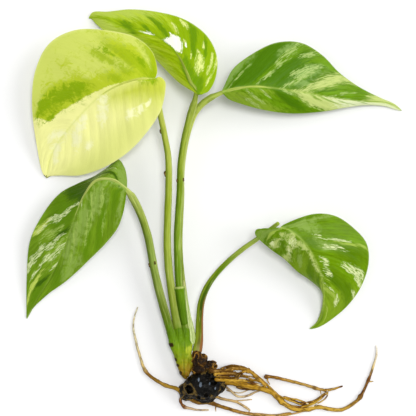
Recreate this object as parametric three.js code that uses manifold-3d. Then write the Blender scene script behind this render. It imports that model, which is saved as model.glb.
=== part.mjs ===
// A bare-root plantlet that lies on a flat surface, five heart-shaped variegated leaves with their
// petioles, stem and roots. Millimetres. The origin is on the underside of the soil clod, +Y runs from
// the roots to the leaves, +X is the side of the long pointed leaf, and +Z is up from the surface that
// the plant lies on.
import * as THREE from 'three';
import { mergeVertices } from 'three/addons/utils/BufferGeometryUtils.js';
import Module from 'manifold-3d';

const wasm = await Module();
wasm.setup();

// Clearances and fineness
const GAP = 0.3;
const BLADE_THICKNESS = 0.6;
const BLADE_LIFT = 0.35;
const BLADE_ROWS = 22;
const BLADE_COLUMNS = 10;
const STALK_SIDES = 8;
const ROOT_SIDES = 6;
const SIDE_VEIN_SWEEP = 1.25;

// Petioles. base is where the petiole leaves the stem, length its straight reach over the surface, rise
// the height of its upper end. route lists hand-chosen points from base to leaf: percent of length to
// the right, percent of length forward, and percent of the climb from the base's height to the rise.
const PETIOLES = {
  cream_petiole: {
    base: [-14.5, 29.6, 8], length: 134.6, rise: 33.5,
    baseRadius: 2.4, tipRadius: 1.5, taper: 1, color: 0xb4c454,
    route: [
      [0, 0, 0], [-1.6, 8.6, 4.7], [-2.8, 16.3, 9.4], [-4, 26.1, 15.7], [-4.5, 36.6, 22.7],
      [-4.2, 47.9, 30.6], [-3.8, 58.8, 38.4], [-4, 70, 47.1], [-5.5, 79.2, 56.1], [-7.1, 87.1, 64.7],
      [-8.2, 93.9, 74.5], [-8.9, 97.3, 86.3], [-9.3, 99.6, 100],
    ],
  },
  left_petiole: {
    base: [-15.9, 20.5, 8], length: 89, rise: 18.5,
    baseRadius: 2.4, tipRadius: 2, taper: 1, color: 0x86a83c,
    route: [
      [0, 0, 0], [-2.4, 7.2, 1], [-6.7, 21.4, 10.5], [-10, 33.7, 21.5], [-12.9, 46, 34.5],
      [-14.9, 57, 47.5], [-17, 68, 61], [-19.7, 77, 72.5], [-23, 85.2, 84], [-26.9, 92.4, 93.5],
      [-29.3, 95.8, 100],
    ],
  },
  top_petiole: {
    base: [-10.6, 28.5, 8], length: 127.8, rise: 28,
    baseRadius: 2, tipRadius: 1.8, taper: 1, color: 0x7fa238,
    route: [
      [0, 0, 0], [-1.6, 9.4, 6], [-2.8, 20.6, 13], [-3.3, 30, 20], [-3.5, 39.4, 28], [-3, 50, 37.5],
      [-2.3, 60.6, 47.5], [-1.9, 71.6, 57.5], [-0.5, 81.3, 67.5], [1.5, 89.7, 77.5], [3.1, 95.1, 85],
      [4.4, 98.6, 92.5], [5.6, 99.8, 100],
    ],
  },
  lower_petiole: {
    base: [-4.4, 17.4, 7.6], length: 83.4, rise: 24.3,
    baseRadius: 2.5, tipRadius: 1.1, taper: 0.6, color: 0x7ba02f,
    route: [
      [0, 0, 0], [1.3, 8, 0], [1.8, 22.5, 7.8], [3.3, 34.4, 16.2], [7.5, 44.5, 25.1], [14, 53.2, 33.5],
      [21.8, 61.1, 43.1], [30.2, 68.1, 53.3], [38.5, 73.9, 64.1], [45.3, 78.9, 76], [50.9, 83.3, 91],
      [53.1, 84.9, 100],
    ],
  },
  right_petiole: {
    base: [-9, 29.5, 6], length: 129.8, rise: 24.3,
    baseRadius: 2, tipRadius: 1.6, taper: 1, color: 0x98b44c,
    route: [
      [0, 0, 0], [-1.7, 12.6, 0], [-3.3, 25.3, 2.2], [-3.9, 35.8, 6.6], [-3.6, 46.4, 12],
      [-3.1, 56.9, 19.1], [-2.9, 67.4, 28.4], [-1.7, 76.6, 38.3], [0.3, 84.9, 50.3], [2.6, 90.7, 61.7],
      [5.5, 94.5, 73.8], [9.5, 97.4, 87.4], [13.7, 99.1, 100],
    ],
  },
};

// Leaves. seat is the step from the petiole's upper end to the leaf's base, and length is the straight
// distance over the surface from base to tip. rib, left and right are hand-chosen points of the midrib
// and the two margins: percent of length to the right, percent of length forward, and percent of the
// base's height, so the tip stays on the surface.
const LEAVES = {
  cream_leaf: {
    petiole: 'cream_petiole', seat: [-0.2, 0.9, 2.5], length: 79.2, crown: 2.5, color: 0xd6e07c,
    rib: [
      [0, 0, 100], [-9.5, 0.5, 101], [-20, -2, 97], [-34.5, -9, 86], [-51, -23.5, 62.5],
      [-67, -42, 30.5], [-73, -53, 14], [-75.5, -65.5, 0],
    ],
    left: [
      [0, 0, 100], [2, 5.5, 93], [-1, 19, 80.5], [-12.5, 29.5, 68], [-30.5, 34.5, 57],
      [-54.5, 35.5, 44.5], [-72, 27, 37.5], [-82, 8.5, 33.5], [-84.5, -15.5, 29], [-82, -40.5, 18],
      [-78, -62, 3], [-75.5, -65.5, 0],
    ],
    right: [
      [0, 0, 100], [4, 2, 98.5], [7.5, -1, 96], [7.5, -8, 93], [4.5, -20, 84.5], [-3, -32, 72],
      [-17, -47, 53], [-34.5, -58, 34.5], [-52, -63.5, 19.5], [-66, -63.5, 8.5], [-73, -64, 2.5],
      [-75.5, -65.5, 0],
    ],
  },
  top_leaf: {
    petiole: 'top_petiole', seat: [0.3, 0.9, 2], length: 74.9, crown: 1.2, color: 0x7fb01c,
    rib: [
      [0, 0, 100], [-5.5, 8, 96.5], [-13, 25.5, 80], [-25.5, 40, 56.5], [-39.5, 47.5, 40],
      [-56.5, 52, 25], [-70.5, 58, 13.5], [-81, 58.5, 0],
    ],
    left: [
      [0, 0, 100], [-5, 3, 93], [-14.5, 9.5, 76.5], [-24.5, 19.5, 58.5], [-34, 29.5, 43.5],
      [-44.5, 37, 31.5], [-58, 43.5, 21.5], [-69.5, 49, 13.5], [-75.5, 54, 6.5], [-79, 58, 2],
      [-81, 58.5, 0],
    ],
    right: [
      [0, 0, 100], [6.5, 2.5, 93], [12, 13.5, 73.5], [12.5, 29.5, 53.5], [5, 44.5, 40], [-10.5, 56, 30],
      [-28.5, 61.5, 23.5], [-50.5, 64, 16.5], [-67.5, 62.5, 10], [-78, 62.5, 3.5], [-81, 58.5, 0],
    ],
  },
  right_leaf: {
    petiole: 'right_petiole', seat: [0.4, 0.6, 1.7], length: 99.4, crown: 1.2, color: 0x5f9a1c,
    rib: [
      [0, 0, 100], [9, 2, 104], [19, 3, 96], [34.5, 1.5, 77], [49, -0.5, 57.5], [65, -3, 36.5],
      [80, -4.5, 17.5], [92, -5.5, 4], [99.5, -9, 0],
    ],
    left: [
      [0, 0, 100], [1.5, 3.5, 94], [6, 12.5, 79], [16.5, 21, 63.5], [30, 27.5, 52], [43.5, 27.5, 44],
      [55, 21, 36.5], [64.5, 11.5, 29], [76, 3.5, 19], [88.5, -2.5, 6.5], [95.5, -5.5, 1.5],
      [99.5, -9, 0],
    ],
    right: [
      [0, 0, 100], [3.5, -3.5, 86.5], [10.5, -6, 73], [22, -9, 61.5], [37.5, -11, 50], [54, -10, 38.5],
      [68, -7.5, 27], [79, -6, 15.5], [90, -6.5, 5.5], [96.5, -8.5, 1.5], [99.5, -9, 0],
    ],
  },
  left_leaf: {
    petiole: 'left_petiole', seat: [-0.5, 0.6, 1.5], length: 90.3, crown: 1.5, color: 0x5c9022,
    rib: [
      [0, 0, 100], [-4.5, 3, 107.5], [-10.5, 6, 112.5], [-18, 5, 110], [-24, -2, 102.5],
      [-30.5, -15.5, 85], [-37, -33, 60], [-45.5, -51.5, 35], [-55.5, -68, 12.5], [-61.5, -78.5, 0],
    ],
    left: [
      [0, 0, 100], [0, 7, 82.5], [-2, 14, 65], [-5.5, 18, 52.5], [-12, 13, 45], [-19.5, 8, 45],
      [-29.5, 3.5, 47.5], [-40.5, -2.5, 47.5], [-51.5, -16, 40], [-59, -31.5, 30], [-61, -52, 17.5],
      [-61.5, -69, 6], [-61.5, -78.5, 0],
    ],
    right: [
      [0, 0, 100], [-0.5, -5, 92.5], [-2, -13.5, 85], [-5.5, -23, 75], [-12, -31.5, 62.5],
      [-22.5, -42, 50], [-36, -54.5, 35], [-49, -64, 20], [-58.5, -73, 6], [-61.5, -78.5, 0],
    ],
  },
  lower_leaf: {
    petiole: 'lower_petiole', seat: [0.5, -2.7, 1.2], length: 58.3, crown: 1.2, color: 0x69a11f,
    rib: [
      [0, 0, 100], [10, -3, 102], [23, -14, 98], [32.5, -29, 84.5], [40, -48.5, 61], [42, -68.5, 33.5],
      [39, -86, 10], [29.5, -95.5, 0],
    ],
    left: [
      [0, 0, 100], [4, 3, 96], [17, 8.5, 86.5], [33.5, 13, 76.5], [51.5, 11, 68.5], [67.5, 1, 61],
      [81, -14, 53], [83.5, -32, 45], [77.5, -53.5, 33.5], [65, -72.5, 19.5], [44.5, -90, 4],
      [35.5, -94.5, 1], [29.5, -95.5, 0],
    ],
    right: [
      [0, 0, 100], [-11, -0.5, 96], [-22, -2, 86.5], [-22.5, -6, 80.5], [-9, -19, 70.5], [5, -29, 61],
      [17.5, -41, 51], [28, -48, 43], [40, -59.5, 33.5], [41, -73.5, 17.5], [35.5, -90.5, 3],
      [29.5, -95.5, 0],
    ],
  },
};

// The old leaf base that wraps the foot of the top petiole, and its pale papery edge
const SHEATH_WALL = 0.6;
const SHEATH_FROM = 0.03;
const SHEATH_TO = 0.195;
const RIM_HEIGHT = 1.2;
const RIM_STAND = 0.3;
const SHEATH_EDGE = {
  radius: 2.2, tipRadius: 0.4, flatness: 0.5,
  route: [[-6.2, 21.5, 8], [-7.5, 30, 8.2], [-9.4, 39.5, 8.6], [-10.6, 48, 9], [-11.6, 57, 9.4]],
};

// Stem base: a wedge that narrows from the petioles to the soil
const STEM = {
  wideRadius: 6.8, narrowRadius: 1.3, taper: 1.3, flatness: 0.62,
  route: [[-12, 31, 8.2], [-12.2, 23, 8.2], [-11.8, 14, 8], [-11.2, 8, 7.6], [-10.6, 2.4, 7]],
};

// Lumps that grow together into the crown of the rhizome and into the clod: centre, then the three
// half-widths.
const COLLAR_LUMPS = [
  [[-3.9, 15.4, 8], [2.4, 2.6, 2.6]],
  [[-2.6, 11.6, 8.5], [4, 3.4, 3.6]],
  [[2.6, 10.2, 7.6], [3.6, 2.6, 3]],
  [[-3, 8, 8], [4.6, 3.2, 4]],
];
const CLOD_LUMPS = [
  [[-1.5, -1.5, 7], [10.6, 7.6, 8.4]],
  [[-9, -4, 4.6], [5.6, 5.4, 5.4]],
  [[6.8, 0.4, 6], [5, 5.8, 6]],
  [[0, -6.4, 3.6], [6.6, 4.4, 4.6]],
  [[1.6, 4, 8], [6.6, 4, 5.4]],
];
const LUMP_BITE = 0.07;
const PIT = { centre: [-8.4, -3.4, 10], radius: 2.3 };

// Roots, each a hand-chosen route on the surface, from the clod outwards. A branch leaves its root as
// one piece.
const ROOTS = {
  thick_root: {
    baseRadius: 1.9, tipRadius: 0.45, taper: 1.1, color: 0xb4893c,
    route: [
      [2.7, 4.2, 10], [10.3, 1.7, 7.5], [18.1, 0.1, 5.5], [25.8, -1.5, 4.2], [31.8, -3, 3.4],
      [37.3, -5.3, 2.6], [42.8, -10.8, 1.8], [50, -14.4, 1.4], [56.6, -14.3, 1.3], [62.1, -13.2, 1.2],
      [67.6, -14.2, 1.2], [74.2, -14.7, 1.1], [79.7, -12.5, 1], [85.2, -7.6, 0.9], [89.6, 1.2, 0.8],
      [93.1, 11.1, 0.7], [94.4, 16, 0.6], [94, 21, 0.5],
    ],
  },
  upper_root: {
    baseRadius: 1.3, tipRadius: 0.9, taper: 1, color: 0xa97f38,
    route: [
      [2.2, 7.5, 12], [9.3, 7.4, 10.5], [15.3, 8.6, 9], [19.7, 8.5, 7.8], [25.2, 6.5, 6.8],
      [29, 3.2, 6.4], [31.5, 0.6, 6], [33.5, -1.6, 6],
    ],
  },
  loop_root: {
    baseRadius: 1.1, tipRadius: 0.9, taper: 1, color: 0x9c6f2c,
    route: [
      [32.3, 3.7, 4.2], [36.8, 3.6, 3.4], [43.4, 2.1, 2.2], [52.2, -0.2, 1.5], [59.9, -2.4, 1.3],
      [65.9, -4, 1.3], [67.3, -5.1, 1.2], [64.8, -6.8, 1.2], [58.8, -10.3, 1.2], [52.7, -11.2, 1.2],
      [47.2, -9, 1.4],
    ],
    branch: {
      baseRadius: 0.9, tipRadius: 0.4,
      route: [[65.4, -3.9, 1.3], [69.8, -3.3, 1.2], [75.9, -1.6, 0.8]],
    },
  },
  bottom_root: {
    baseRadius: 1.1, tipRadius: 0.8, taper: 1, color: 0xa67a30,
    route: [
      [-12, -5, 6], [-8.2, -8.4, 4.4], [-3.3, -10.5, 3], [2.7, -10.5, 2], [8.8, -12.8, 1.4],
      [15.9, -15, 1.3], [23.6, -16.9, 1.3], [32.4, -17.5, 1.3], [41.2, -17.5, 1.2], [47.8, -16.7, 1.1],
    ],
  },
  long_root: {
    baseRadius: 1.2, tipRadius: 0.35, taper: 1, color: 0xc0a25c,
    route: [
      [-10.4, -7.1, 6.5], [-14.8, -3.2, 5], [-21.4, -1, 3.2], [-28, 2.3, 1.9], [-32.7, 6.7, 1.3],
      [-35.4, 13.8, 1.1], [-37.9, 22.6, 0.9], [-39.4, 30.8, 0.8], [-38.6, 36.9, 0.7], [-36.8, 42.1, 0.6],
    ],
  },
  curl_root: {
    baseRadius: 0.9, tipRadius: 0.4, taper: 1, color: 0x9c6f2c,
    route: [
      [-12.6, -6.2, 4.5], [-13.4, -9.7, 2.8], [-11.5, -12.8, 1.4], [-8.2, -13.8, 1], [-4.4, -14.7, 0.9],
      [2.2, -14.8, 0.8],
    ],
  },
  fine_root: {
    baseRadius: 0.7, tipRadius: 0.5, taper: 1, color: 0xb08c48,
    route: [
      [9.3, 0, 6.5], [13.7, -3.5, 4.6], [18.1, -7.2, 2.4], [23.1, -7, 1.6], [28, -4.8, 1.5],
      [31.9, -3.4, 1.6],
    ],
  },
  short_root: {
    baseRadius: 0.8, tipRadius: 0.6, taper: 1, color: 0xa67a30,
    route: [[4.9, -6.7, 5], [11, -8.8, 2.8], [17, -10.3, 1.4], [22, -13.1, 1.2], [24.7, -15, 1.2]],
  },
};

const vector = (point) => new THREE.Vector3(...point);
const curveThrough = (points) => new THREE.CatmullRomCurve3(points, false, 'centripetal');
const between = (from, to, share) => from + (to - from) * share;

// A closed three.js geometry as a solid that can be cut
function solidOf(geometry) {
  const bare = geometry.index ? geometry.toNonIndexed() : geometry.clone();
  bare.deleteAttribute('normal');
  bare.deleteAttribute('uv');
  const merged = mergeVertices(bare, 1e-4);
  return new wasm.Manifold(new wasm.Mesh({
    numProp: 3,
    vertProperties: merged.attributes.position.array,
    triVerts: new Uint32Array(merged.index.array),
  }));
}

function geometryOf(solid) {
  const mesh = solid.getMesh();
  const geometry = new THREE.BufferGeometry();
  geometry.setAttribute('position', new THREE.BufferAttribute(mesh.vertProperties, 3));
  geometry.setIndex(new THREE.BufferAttribute(mesh.triVerts, 1));
  return geometry;
}

// The largest body that is left of a solid when its neighbours have taken their room
function carve(solid, neighbours) {
  const cut = neighbours.reduce((rest, neighbour) => rest.subtract(neighbour), solid);
  return cut.decompose().sort((a, b) => b.volume() - a.volume())[0];
}

// Moves every vertex of a geometry to a new place
function reshape(geometry, place) {
  const position = geometry.attributes.position;
  for (let i = 0; i < position.count; i++) {
    const moved = place(position.getX(i), position.getY(i), position.getZ(i));
    position.setXYZ(i, moved.x, moved.y, moved.z);
  }
  return geometry;
}

// A closed tube along a curve, from one share of its length to another. Its radius runs from
// size.baseRadius to size.tipRadius, flatness squeezes it in height, and grow makes it fatter and longer
// all round.
function tube(curve, size, options = {}) {
  const { grow = 0, sides = ROOT_SIDES, steps = 24, flatness = 1, from = 0, to = 1 } = options;
  const up = new THREE.Vector3(0, 0, 1);
  return solidOf(reshape(new THREE.CylinderGeometry(1, 1, 1, sides, steps), (x, y, z) => {
    const share = between(from, to, y + 0.5);
    const along = curve.getTangentAt(share);
    const across = new THREE.Vector3().crossVectors(along, up).normalize();
    const above = new THREE.Vector3().crossVectors(across, along);
    const radius = between(size.baseRadius, size.tipRadius, share ** size.taper);
    const endShift = Math.abs(y) > 0.499 ? Math.sign(y) * grow : 0;
    return curve.getPointAt(share)
      .addScaledVector(across, x * (radius + grow))
      .addScaledVector(above, z * (radius * flatness + grow))
      .addScaledVector(along, endShift);
  }));
}

// Petioles
function petioleCurve({ base, length, rise, route }) {
  const scale = length / 100;
  return curveThrough(route.map(([right, forward, climb]) => new THREE.Vector3(
    base[0] + right * scale,
    base[1] + forward * scale,
    between(base[2], rise, climb / 100),
  )));
}

function petioleSolid(petiole, grow = 0) {
  return tube(petioleCurve(petiole), petiole, { grow, sides: STALK_SIDES, steps: 26 });
}

// Leaves
function leafCurves({ petiole, seat, length, rib, left, right }) {
  const base = petioleCurve(PETIOLES[petiole]).getPointAt(1).add(vector(seat));
  const scale = length / 100;
  const placed = ([toRight, forward, height]) => new THREE.Vector3(
    base.x + toRight * scale,
    base.y + forward * scale,
    BLADE_LIFT + (base.z - BLADE_LIFT) * height / 100,
  );
  return {
    rib: curveThrough(rib.map(placed)),
    left: curveThrough(left.map(placed)),
    right: curveThrough(right.map(placed)),
  };
}

// A point of the blade: along runs from the base to the tip, and across from the left margin, over the
// rib, to the right margin. Each half swells a little between its rib and its margin.
function bladePoint(curves, crown, along, across) {
  const margin = across < 0 ? curves.left : curves.right;
  const out = Math.abs(across);
  const foot = curves.rib.getPointAt(along ** SIDE_VEIN_SWEEP);
  const edge = margin.getPointAt(between(0.012, 0.988, along));
  const point = foot.lerp(edge, out);
  point.z += crown * 2 * out * (1 - out) * Math.sin(Math.PI * along) ** 0.7;
  return point;
}

function bladeSolid(leaf, grow = 0) {
  const curves = leafCurves(leaf);
  const thickness = BLADE_THICKNESS + 2 * grow;
  const step = 0.002;
  const at = (along, across) => bladePoint(curves, leaf.crown, along, across);
  const box = new THREE.BoxGeometry(1, 1, 1, BLADE_ROWS, BLADE_COLUMNS, 1);
  return solidOf(reshape(box, (x, y, z) => {
    const along = x + 0.5;
    const across = 2 * y;
    const middle = Math.min(Math.max(along, step), 1 - step);
    const side = Math.min(Math.max(across, step - 1), 1 - step);
    const lengthwise = at(middle + step, side).sub(at(middle - step, side));
    const crosswise = at(middle, side + step).sub(at(middle, side - step));
    const normal = lengthwise.cross(crosswise).normalize();
    return at(along, across).addScaledVector(normal, z * thickness);
  }));
}

// Stem base, crown and clod
function lump([centre, half], grow) {
  const ball = new THREE.SphereGeometry(1, 14, 8);
  return solidOf(reshape(ball, (x, y, z) => {
    const bite = 1 + LUMP_BITE * Math.sin(5 * x + centre[0]) * Math.cos(4 * y - centre[1]) * Math.cos(3 * z);
    return new THREE.Vector3(
      centre[0] + x * (half[0] * bite + grow),
      centre[1] + y * (half[1] * bite + grow),
      centre[2] + z * (half[2] * bite + grow),
    );
  }));
}

function box(width, depth, height, centre) {
  return solidOf(new THREE.BoxGeometry(width, depth, height).translate(...centre));
}

const lumps = (list, grow = 0) => list
  .map((one) => lump(one, grow))
  .reduce((whole, next) => whole.add(next));

function clodSolid(grow = 0) {
  const pit = solidOf(new THREE.SphereGeometry(PIT.radius - grow, 12, 8).translate(...PIT.centre));
  const below = box(80, 80, 20, [0, 0, -10]);
  return lumps(CLOD_LUMPS, grow).subtract(pit).subtract(below);
}

function stemSolid(grow = 0) {
  const size = { baseRadius: STEM.wideRadius, tipRadius: STEM.narrowRadius, taper: STEM.taper };
  const curve = curveThrough(STEM.route.map(vector));
  return tube(curve, size, { grow, sides: 12, steps: 14, flatness: STEM.flatness });
}

// The sheath is a sleeve round the foot of the top petiole, with a low ring at its upper end
function sheathSolid(grow = 0) {
  const petiole = PETIOLES.top_petiole;
  const curve = petioleCurve(petiole);
  const rimShare = RIM_HEIGHT / curve.getLength();
  const wrapped = { grow: GAP + SHEATH_WALL + grow, sides: 10 };
  const sleeve = tube(curve, petiole, { ...wrapped, steps: 8, from: SHEATH_FROM, to: SHEATH_TO });
  const rim = {
    ...wrapped, grow: wrapped.grow + RIM_STAND, steps: 1, from: SHEATH_TO - rimShare, to: SHEATH_TO,
  };
  const ring = tube(curve, petiole, rim);
  return sleeve.add(ring);
}

function sheathEdgeSolid(grow = 0) {
  const size = { baseRadius: SHEATH_EDGE.radius, tipRadius: SHEATH_EDGE.tipRadius, taper: 1 };
  const curve = curveThrough(SHEATH_EDGE.route.map(vector));
  return tube(curve, size, { grow, steps: 12, flatness: SHEATH_EDGE.flatness });
}

// Roots
function rootSolid(root, grow = 0) {
  const steps = Math.min(40, 3 * root.route.length);
  const stem = tube(curveThrough(root.route.map(vector)), root, { grow, steps });
  if (!root.branch) return stem;
  const side = { taper: 1, ...root.branch };
  return stem.add(tube(curveThrough(side.route.map(vector)), side, { grow, steps: 6 }));
}

const plantlet = new THREE.Group();

function addPart(name, solid, color, roughness) {
  const mesh = new THREE.Mesh(
    geometryOf(solid),
    new THREE.MeshStandardMaterial({ color, roughness, metalness: 0 }),
  );
  mesh.name = name;
  plantlet.add(mesh);
}

addPart('soil_clod', clodSolid(), 0x1d1a17, 0.6);
addPart('rhizome_collar', carve(lumps(COLLAR_LUMPS), [clodSolid(GAP)]), 0x4a3018, 0.8);

const crownRoom = [clodSolid(GAP), lumps(COLLAR_LUMPS, GAP)];
addPart('stem_base', carve(stemSolid(), crownRoom), 0x8aa23a, 0.5);

// Each stalk makes room for its own leaf, for the stem and for the stalks before it
const stalkRoom = [stemSolid(GAP), lumps(COLLAR_LUMPS, GAP)];
for (const [name, petiole] of Object.entries(PETIOLES)) {
  const leaf = Object.values(LEAVES).find((one) => one.petiole === name);
  if (name === 'lower_petiole') {
    addPart('sheath', carve(sheathSolid(), stalkRoom), 0x5e8a26, 0.45);
    stalkRoom.push(sheathSolid(GAP));
  }
  addPart(name, carve(petioleSolid(petiole), [...stalkRoom, bladeSolid(leaf, GAP)]), petiole.color, 0.4);
  stalkRoom.push(petioleSolid(petiole, GAP));
}
addPart('sheath_edge', carve(sheathEdgeSolid(), stalkRoom), 0xd5d9a4, 0.6);

for (const [name, leaf] of Object.entries(LEAVES)) {
  addPart(name, bladeSolid(leaf), leaf.color, 0.4);
}

const rootRoom = [clodSolid(GAP), lumps(COLLAR_LUMPS, GAP), stemSolid(GAP)];
for (const [name, root] of Object.entries(ROOTS)) {
  addPart(name, carve(rootSolid(root), rootRoom), root.color, 0.7);
  rootRoom.push(rootSolid(root, GAP));
}

export default plantlet;
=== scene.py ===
"""A bare-root variegated plantlet that lies on a pale surface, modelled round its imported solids.

Five heart-shaped blades stand on long petioles, which meet in a short stem above a clod of damp soil and a
spray of thin roots. Routes and outlines are in millimetres, as in the part's own source. The meshes are in
metres, in the part's frame.
"""

import logging
import math
from collections.abc import Callable
from dataclasses import dataclass
from enum import Enum

import bpy
import numpy as np
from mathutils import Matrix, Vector, noise


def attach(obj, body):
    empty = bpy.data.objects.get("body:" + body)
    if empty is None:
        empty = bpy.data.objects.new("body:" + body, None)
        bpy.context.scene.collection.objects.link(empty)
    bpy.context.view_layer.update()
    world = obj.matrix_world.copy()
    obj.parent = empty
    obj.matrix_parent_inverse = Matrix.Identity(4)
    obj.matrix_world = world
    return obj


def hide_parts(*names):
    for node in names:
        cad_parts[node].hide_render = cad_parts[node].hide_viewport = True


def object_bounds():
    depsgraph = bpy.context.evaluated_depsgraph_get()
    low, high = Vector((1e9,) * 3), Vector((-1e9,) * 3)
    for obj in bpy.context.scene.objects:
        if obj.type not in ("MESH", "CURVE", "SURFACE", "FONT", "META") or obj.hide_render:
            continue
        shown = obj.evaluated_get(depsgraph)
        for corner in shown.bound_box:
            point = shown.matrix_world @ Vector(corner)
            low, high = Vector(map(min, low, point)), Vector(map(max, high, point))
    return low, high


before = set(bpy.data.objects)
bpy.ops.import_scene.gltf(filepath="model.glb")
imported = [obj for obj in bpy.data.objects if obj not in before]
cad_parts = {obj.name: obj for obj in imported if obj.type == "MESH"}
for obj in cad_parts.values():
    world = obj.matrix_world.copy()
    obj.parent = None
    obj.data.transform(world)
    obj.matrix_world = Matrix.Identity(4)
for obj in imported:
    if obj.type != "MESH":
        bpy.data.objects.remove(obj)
SOLID_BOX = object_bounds()

LOG = logging.getLogger("plantlet")
MM = 0.001

BLADE_LIFT = 0.35
BLADE_THICKNESS = 0.6
BLADE_ROWS = 230
BLADE_COLUMNS = 132
SIDE_VEIN_SWEEP = 1.25
MARGIN_START = 0.012
MARGIN_END = 0.988
UP = np.array([0.0, 0.0, 1.0])
HALF_LOG = -0.69

Array = np.ndarray
Piece = bpy.types.Object
Material = bpy.types.Material
Point = tuple[float, float, float]
Outline = tuple[tuple[float, float], ...]


# ---------------------------------------------------------------- curves


class Path:
    """A smooth curve through given points, read by its share of the length."""

    SAMPLES = 90
    STEP = 0.004

    def __init__(self, points: Array) -> None:
        """Lays a centripetal Catmull-Rom curve through the points.

        Args:
            points: One row of x, y and z for each point, in millimetres.
        """
        given = np.asarray(points, dtype=float)
        padded = np.vstack([2 * given[0] - given[1], given, 2 * given[-1] - given[-2]])
        spans = [self._span(*padded[i : i + 4]) for i in range(len(given) - 1)]
        self.places = np.vstack([*spans, given[-1:]])
        steps = np.linalg.norm(np.diff(self.places, axis=0), axis=1)
        travelled = np.concatenate([[0.0], np.cumsum(steps)])
        self.length = float(travelled[-1])
        self.shares = travelled / self.length

    def _span(self, before: Array, start: Array, end: Array, after: Array) -> Array:
        """Samples one span of the curve.

        Args:
            before: The point before the span.
            start: The span's first point.
            end: The span's last point.
            after: The point after the span.

        Returns:
            The span's samples, without its last point.
        """
        d0, d1, d2 = (
            max(float(np.linalg.norm(b - a)) ** 0.5, 1e-9)
            for a, b in ((before, start), (start, end), (end, after))
        )
        leave = ((start - before) / d0 - (end - before) / (d0 + d1) + (end - start) / d1) * d1
        arrive = ((end - start) / d1 - (after - start) / (d1 + d2) + (after - end) / d2) * d1
        t = np.linspace(0.0, 1.0, self.SAMPLES, endpoint=False)[:, None]
        bend = -3 * start + 3 * end - 2 * leave - arrive
        twist = 2 * start - 2 * end + leave + arrive
        return start + leave * t + bend * t**2 + twist * t**3

    def at(self, share: Array) -> Array:
        """Returns the places at these shares of the length."""
        return np.stack([np.interp(share, self.shares, self.places[:, k]) for k in range(3)], axis=-1)

    def axes(self, share: Array) -> tuple[Array, Array, Array]:
        """Returns the unit vectors forward, to the right and above at these shares of the length."""
        ahead = self.at(np.minimum(share + self.STEP, 1.0)) - self.at(np.maximum(share - self.STEP, 0.0))
        forward = unit(ahead)
        across = unit(np.cross(forward, UP))
        return forward, across, np.cross(across, forward)


def unit(vectors: Array) -> Array:
    """Returns the vectors, each with a length of one."""
    return vectors / np.maximum(np.linalg.norm(vectors, axis=-1, keepdims=True), 1e-12)


def smooth_step(value: Array, low: float, high: float) -> Array:
    """Returns 0 below low, 1 above high, and a smooth rise between them."""
    t = np.clip((value - low) / (high - low), 0.0, 1.0)
    return t * t * (3 - 2 * t)


def wander(places: Array, scale: float, seed: float) -> Array:
    """Reads smooth noise at places.

    Args:
        places: One row of x, y and z for each place.
        scale: How many bumps the noise has for each unit of length.
        seed: Moves the noise, so two pieces differ.

    Returns:
        One value for each place, mostly between -1 and 1.
    """
    shift = Vector((seed * 7.31, seed * 3.17, seed * 5.03))
    return np.array([noise.noise(Vector(place) * scale + shift) for place in places])


# ---------------------------------------------------------------- the plant's measures


@dataclass(frozen=True)
class StalkRoute:
    """A petiole's way from the stem to its leaf.

    The route's points are percent of length to the right, percent of length forward, and percent of the
    climb from the base's height to the rise.
    """

    base: Point
    length: float
    rise: float
    base_radius: float
    tip_radius: float
    taper: float
    route: tuple[Point, ...]

    def path(self) -> Path:
        """Returns the centre line."""
        scale = self.length / 100
        x, y, z = self.base
        climb = self.rise - z
        return Path(np.array([(x + r * scale, y + f * scale, z + climb * c / 100) for r, f, c in self.route]))


@dataclass(frozen=True)
class LeafOutline:
    """A blade's midrib and margins.

    Their points are percent of length to the right, percent of length forward, and percent of the height of
    the blade's base. The seat is the step from the petiole's upper end to that base.
    """

    petiole: str
    seat: Point
    length: float
    crown: float
    rib: tuple[Point, ...]
    left: tuple[Point, ...]
    right: tuple[Point, ...]

    def paths(self) -> tuple[Path, Path, Path]:
        """Returns the midrib, the left margin and the right margin."""
        x, y, z = PETIOLES[self.petiole].path().at(np.array(1.0)) + np.array(self.seat)
        scale = self.length / 100
        climb = (z - BLADE_LIFT) / 100
        rib, left, right = (
            Path(np.array([(x + r * scale, y + f * scale, BLADE_LIFT + climb * h) for r, f, h in line]))
            for line in (self.rib, self.left, self.right)
        )
        return rib, left, right


@dataclass(frozen=True)
class RootRoute:
    """A root's way over the surface, from the clod outwards."""

    base_radius: float
    tip_radius: float
    taper: float
    route: tuple[Point, ...]


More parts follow.
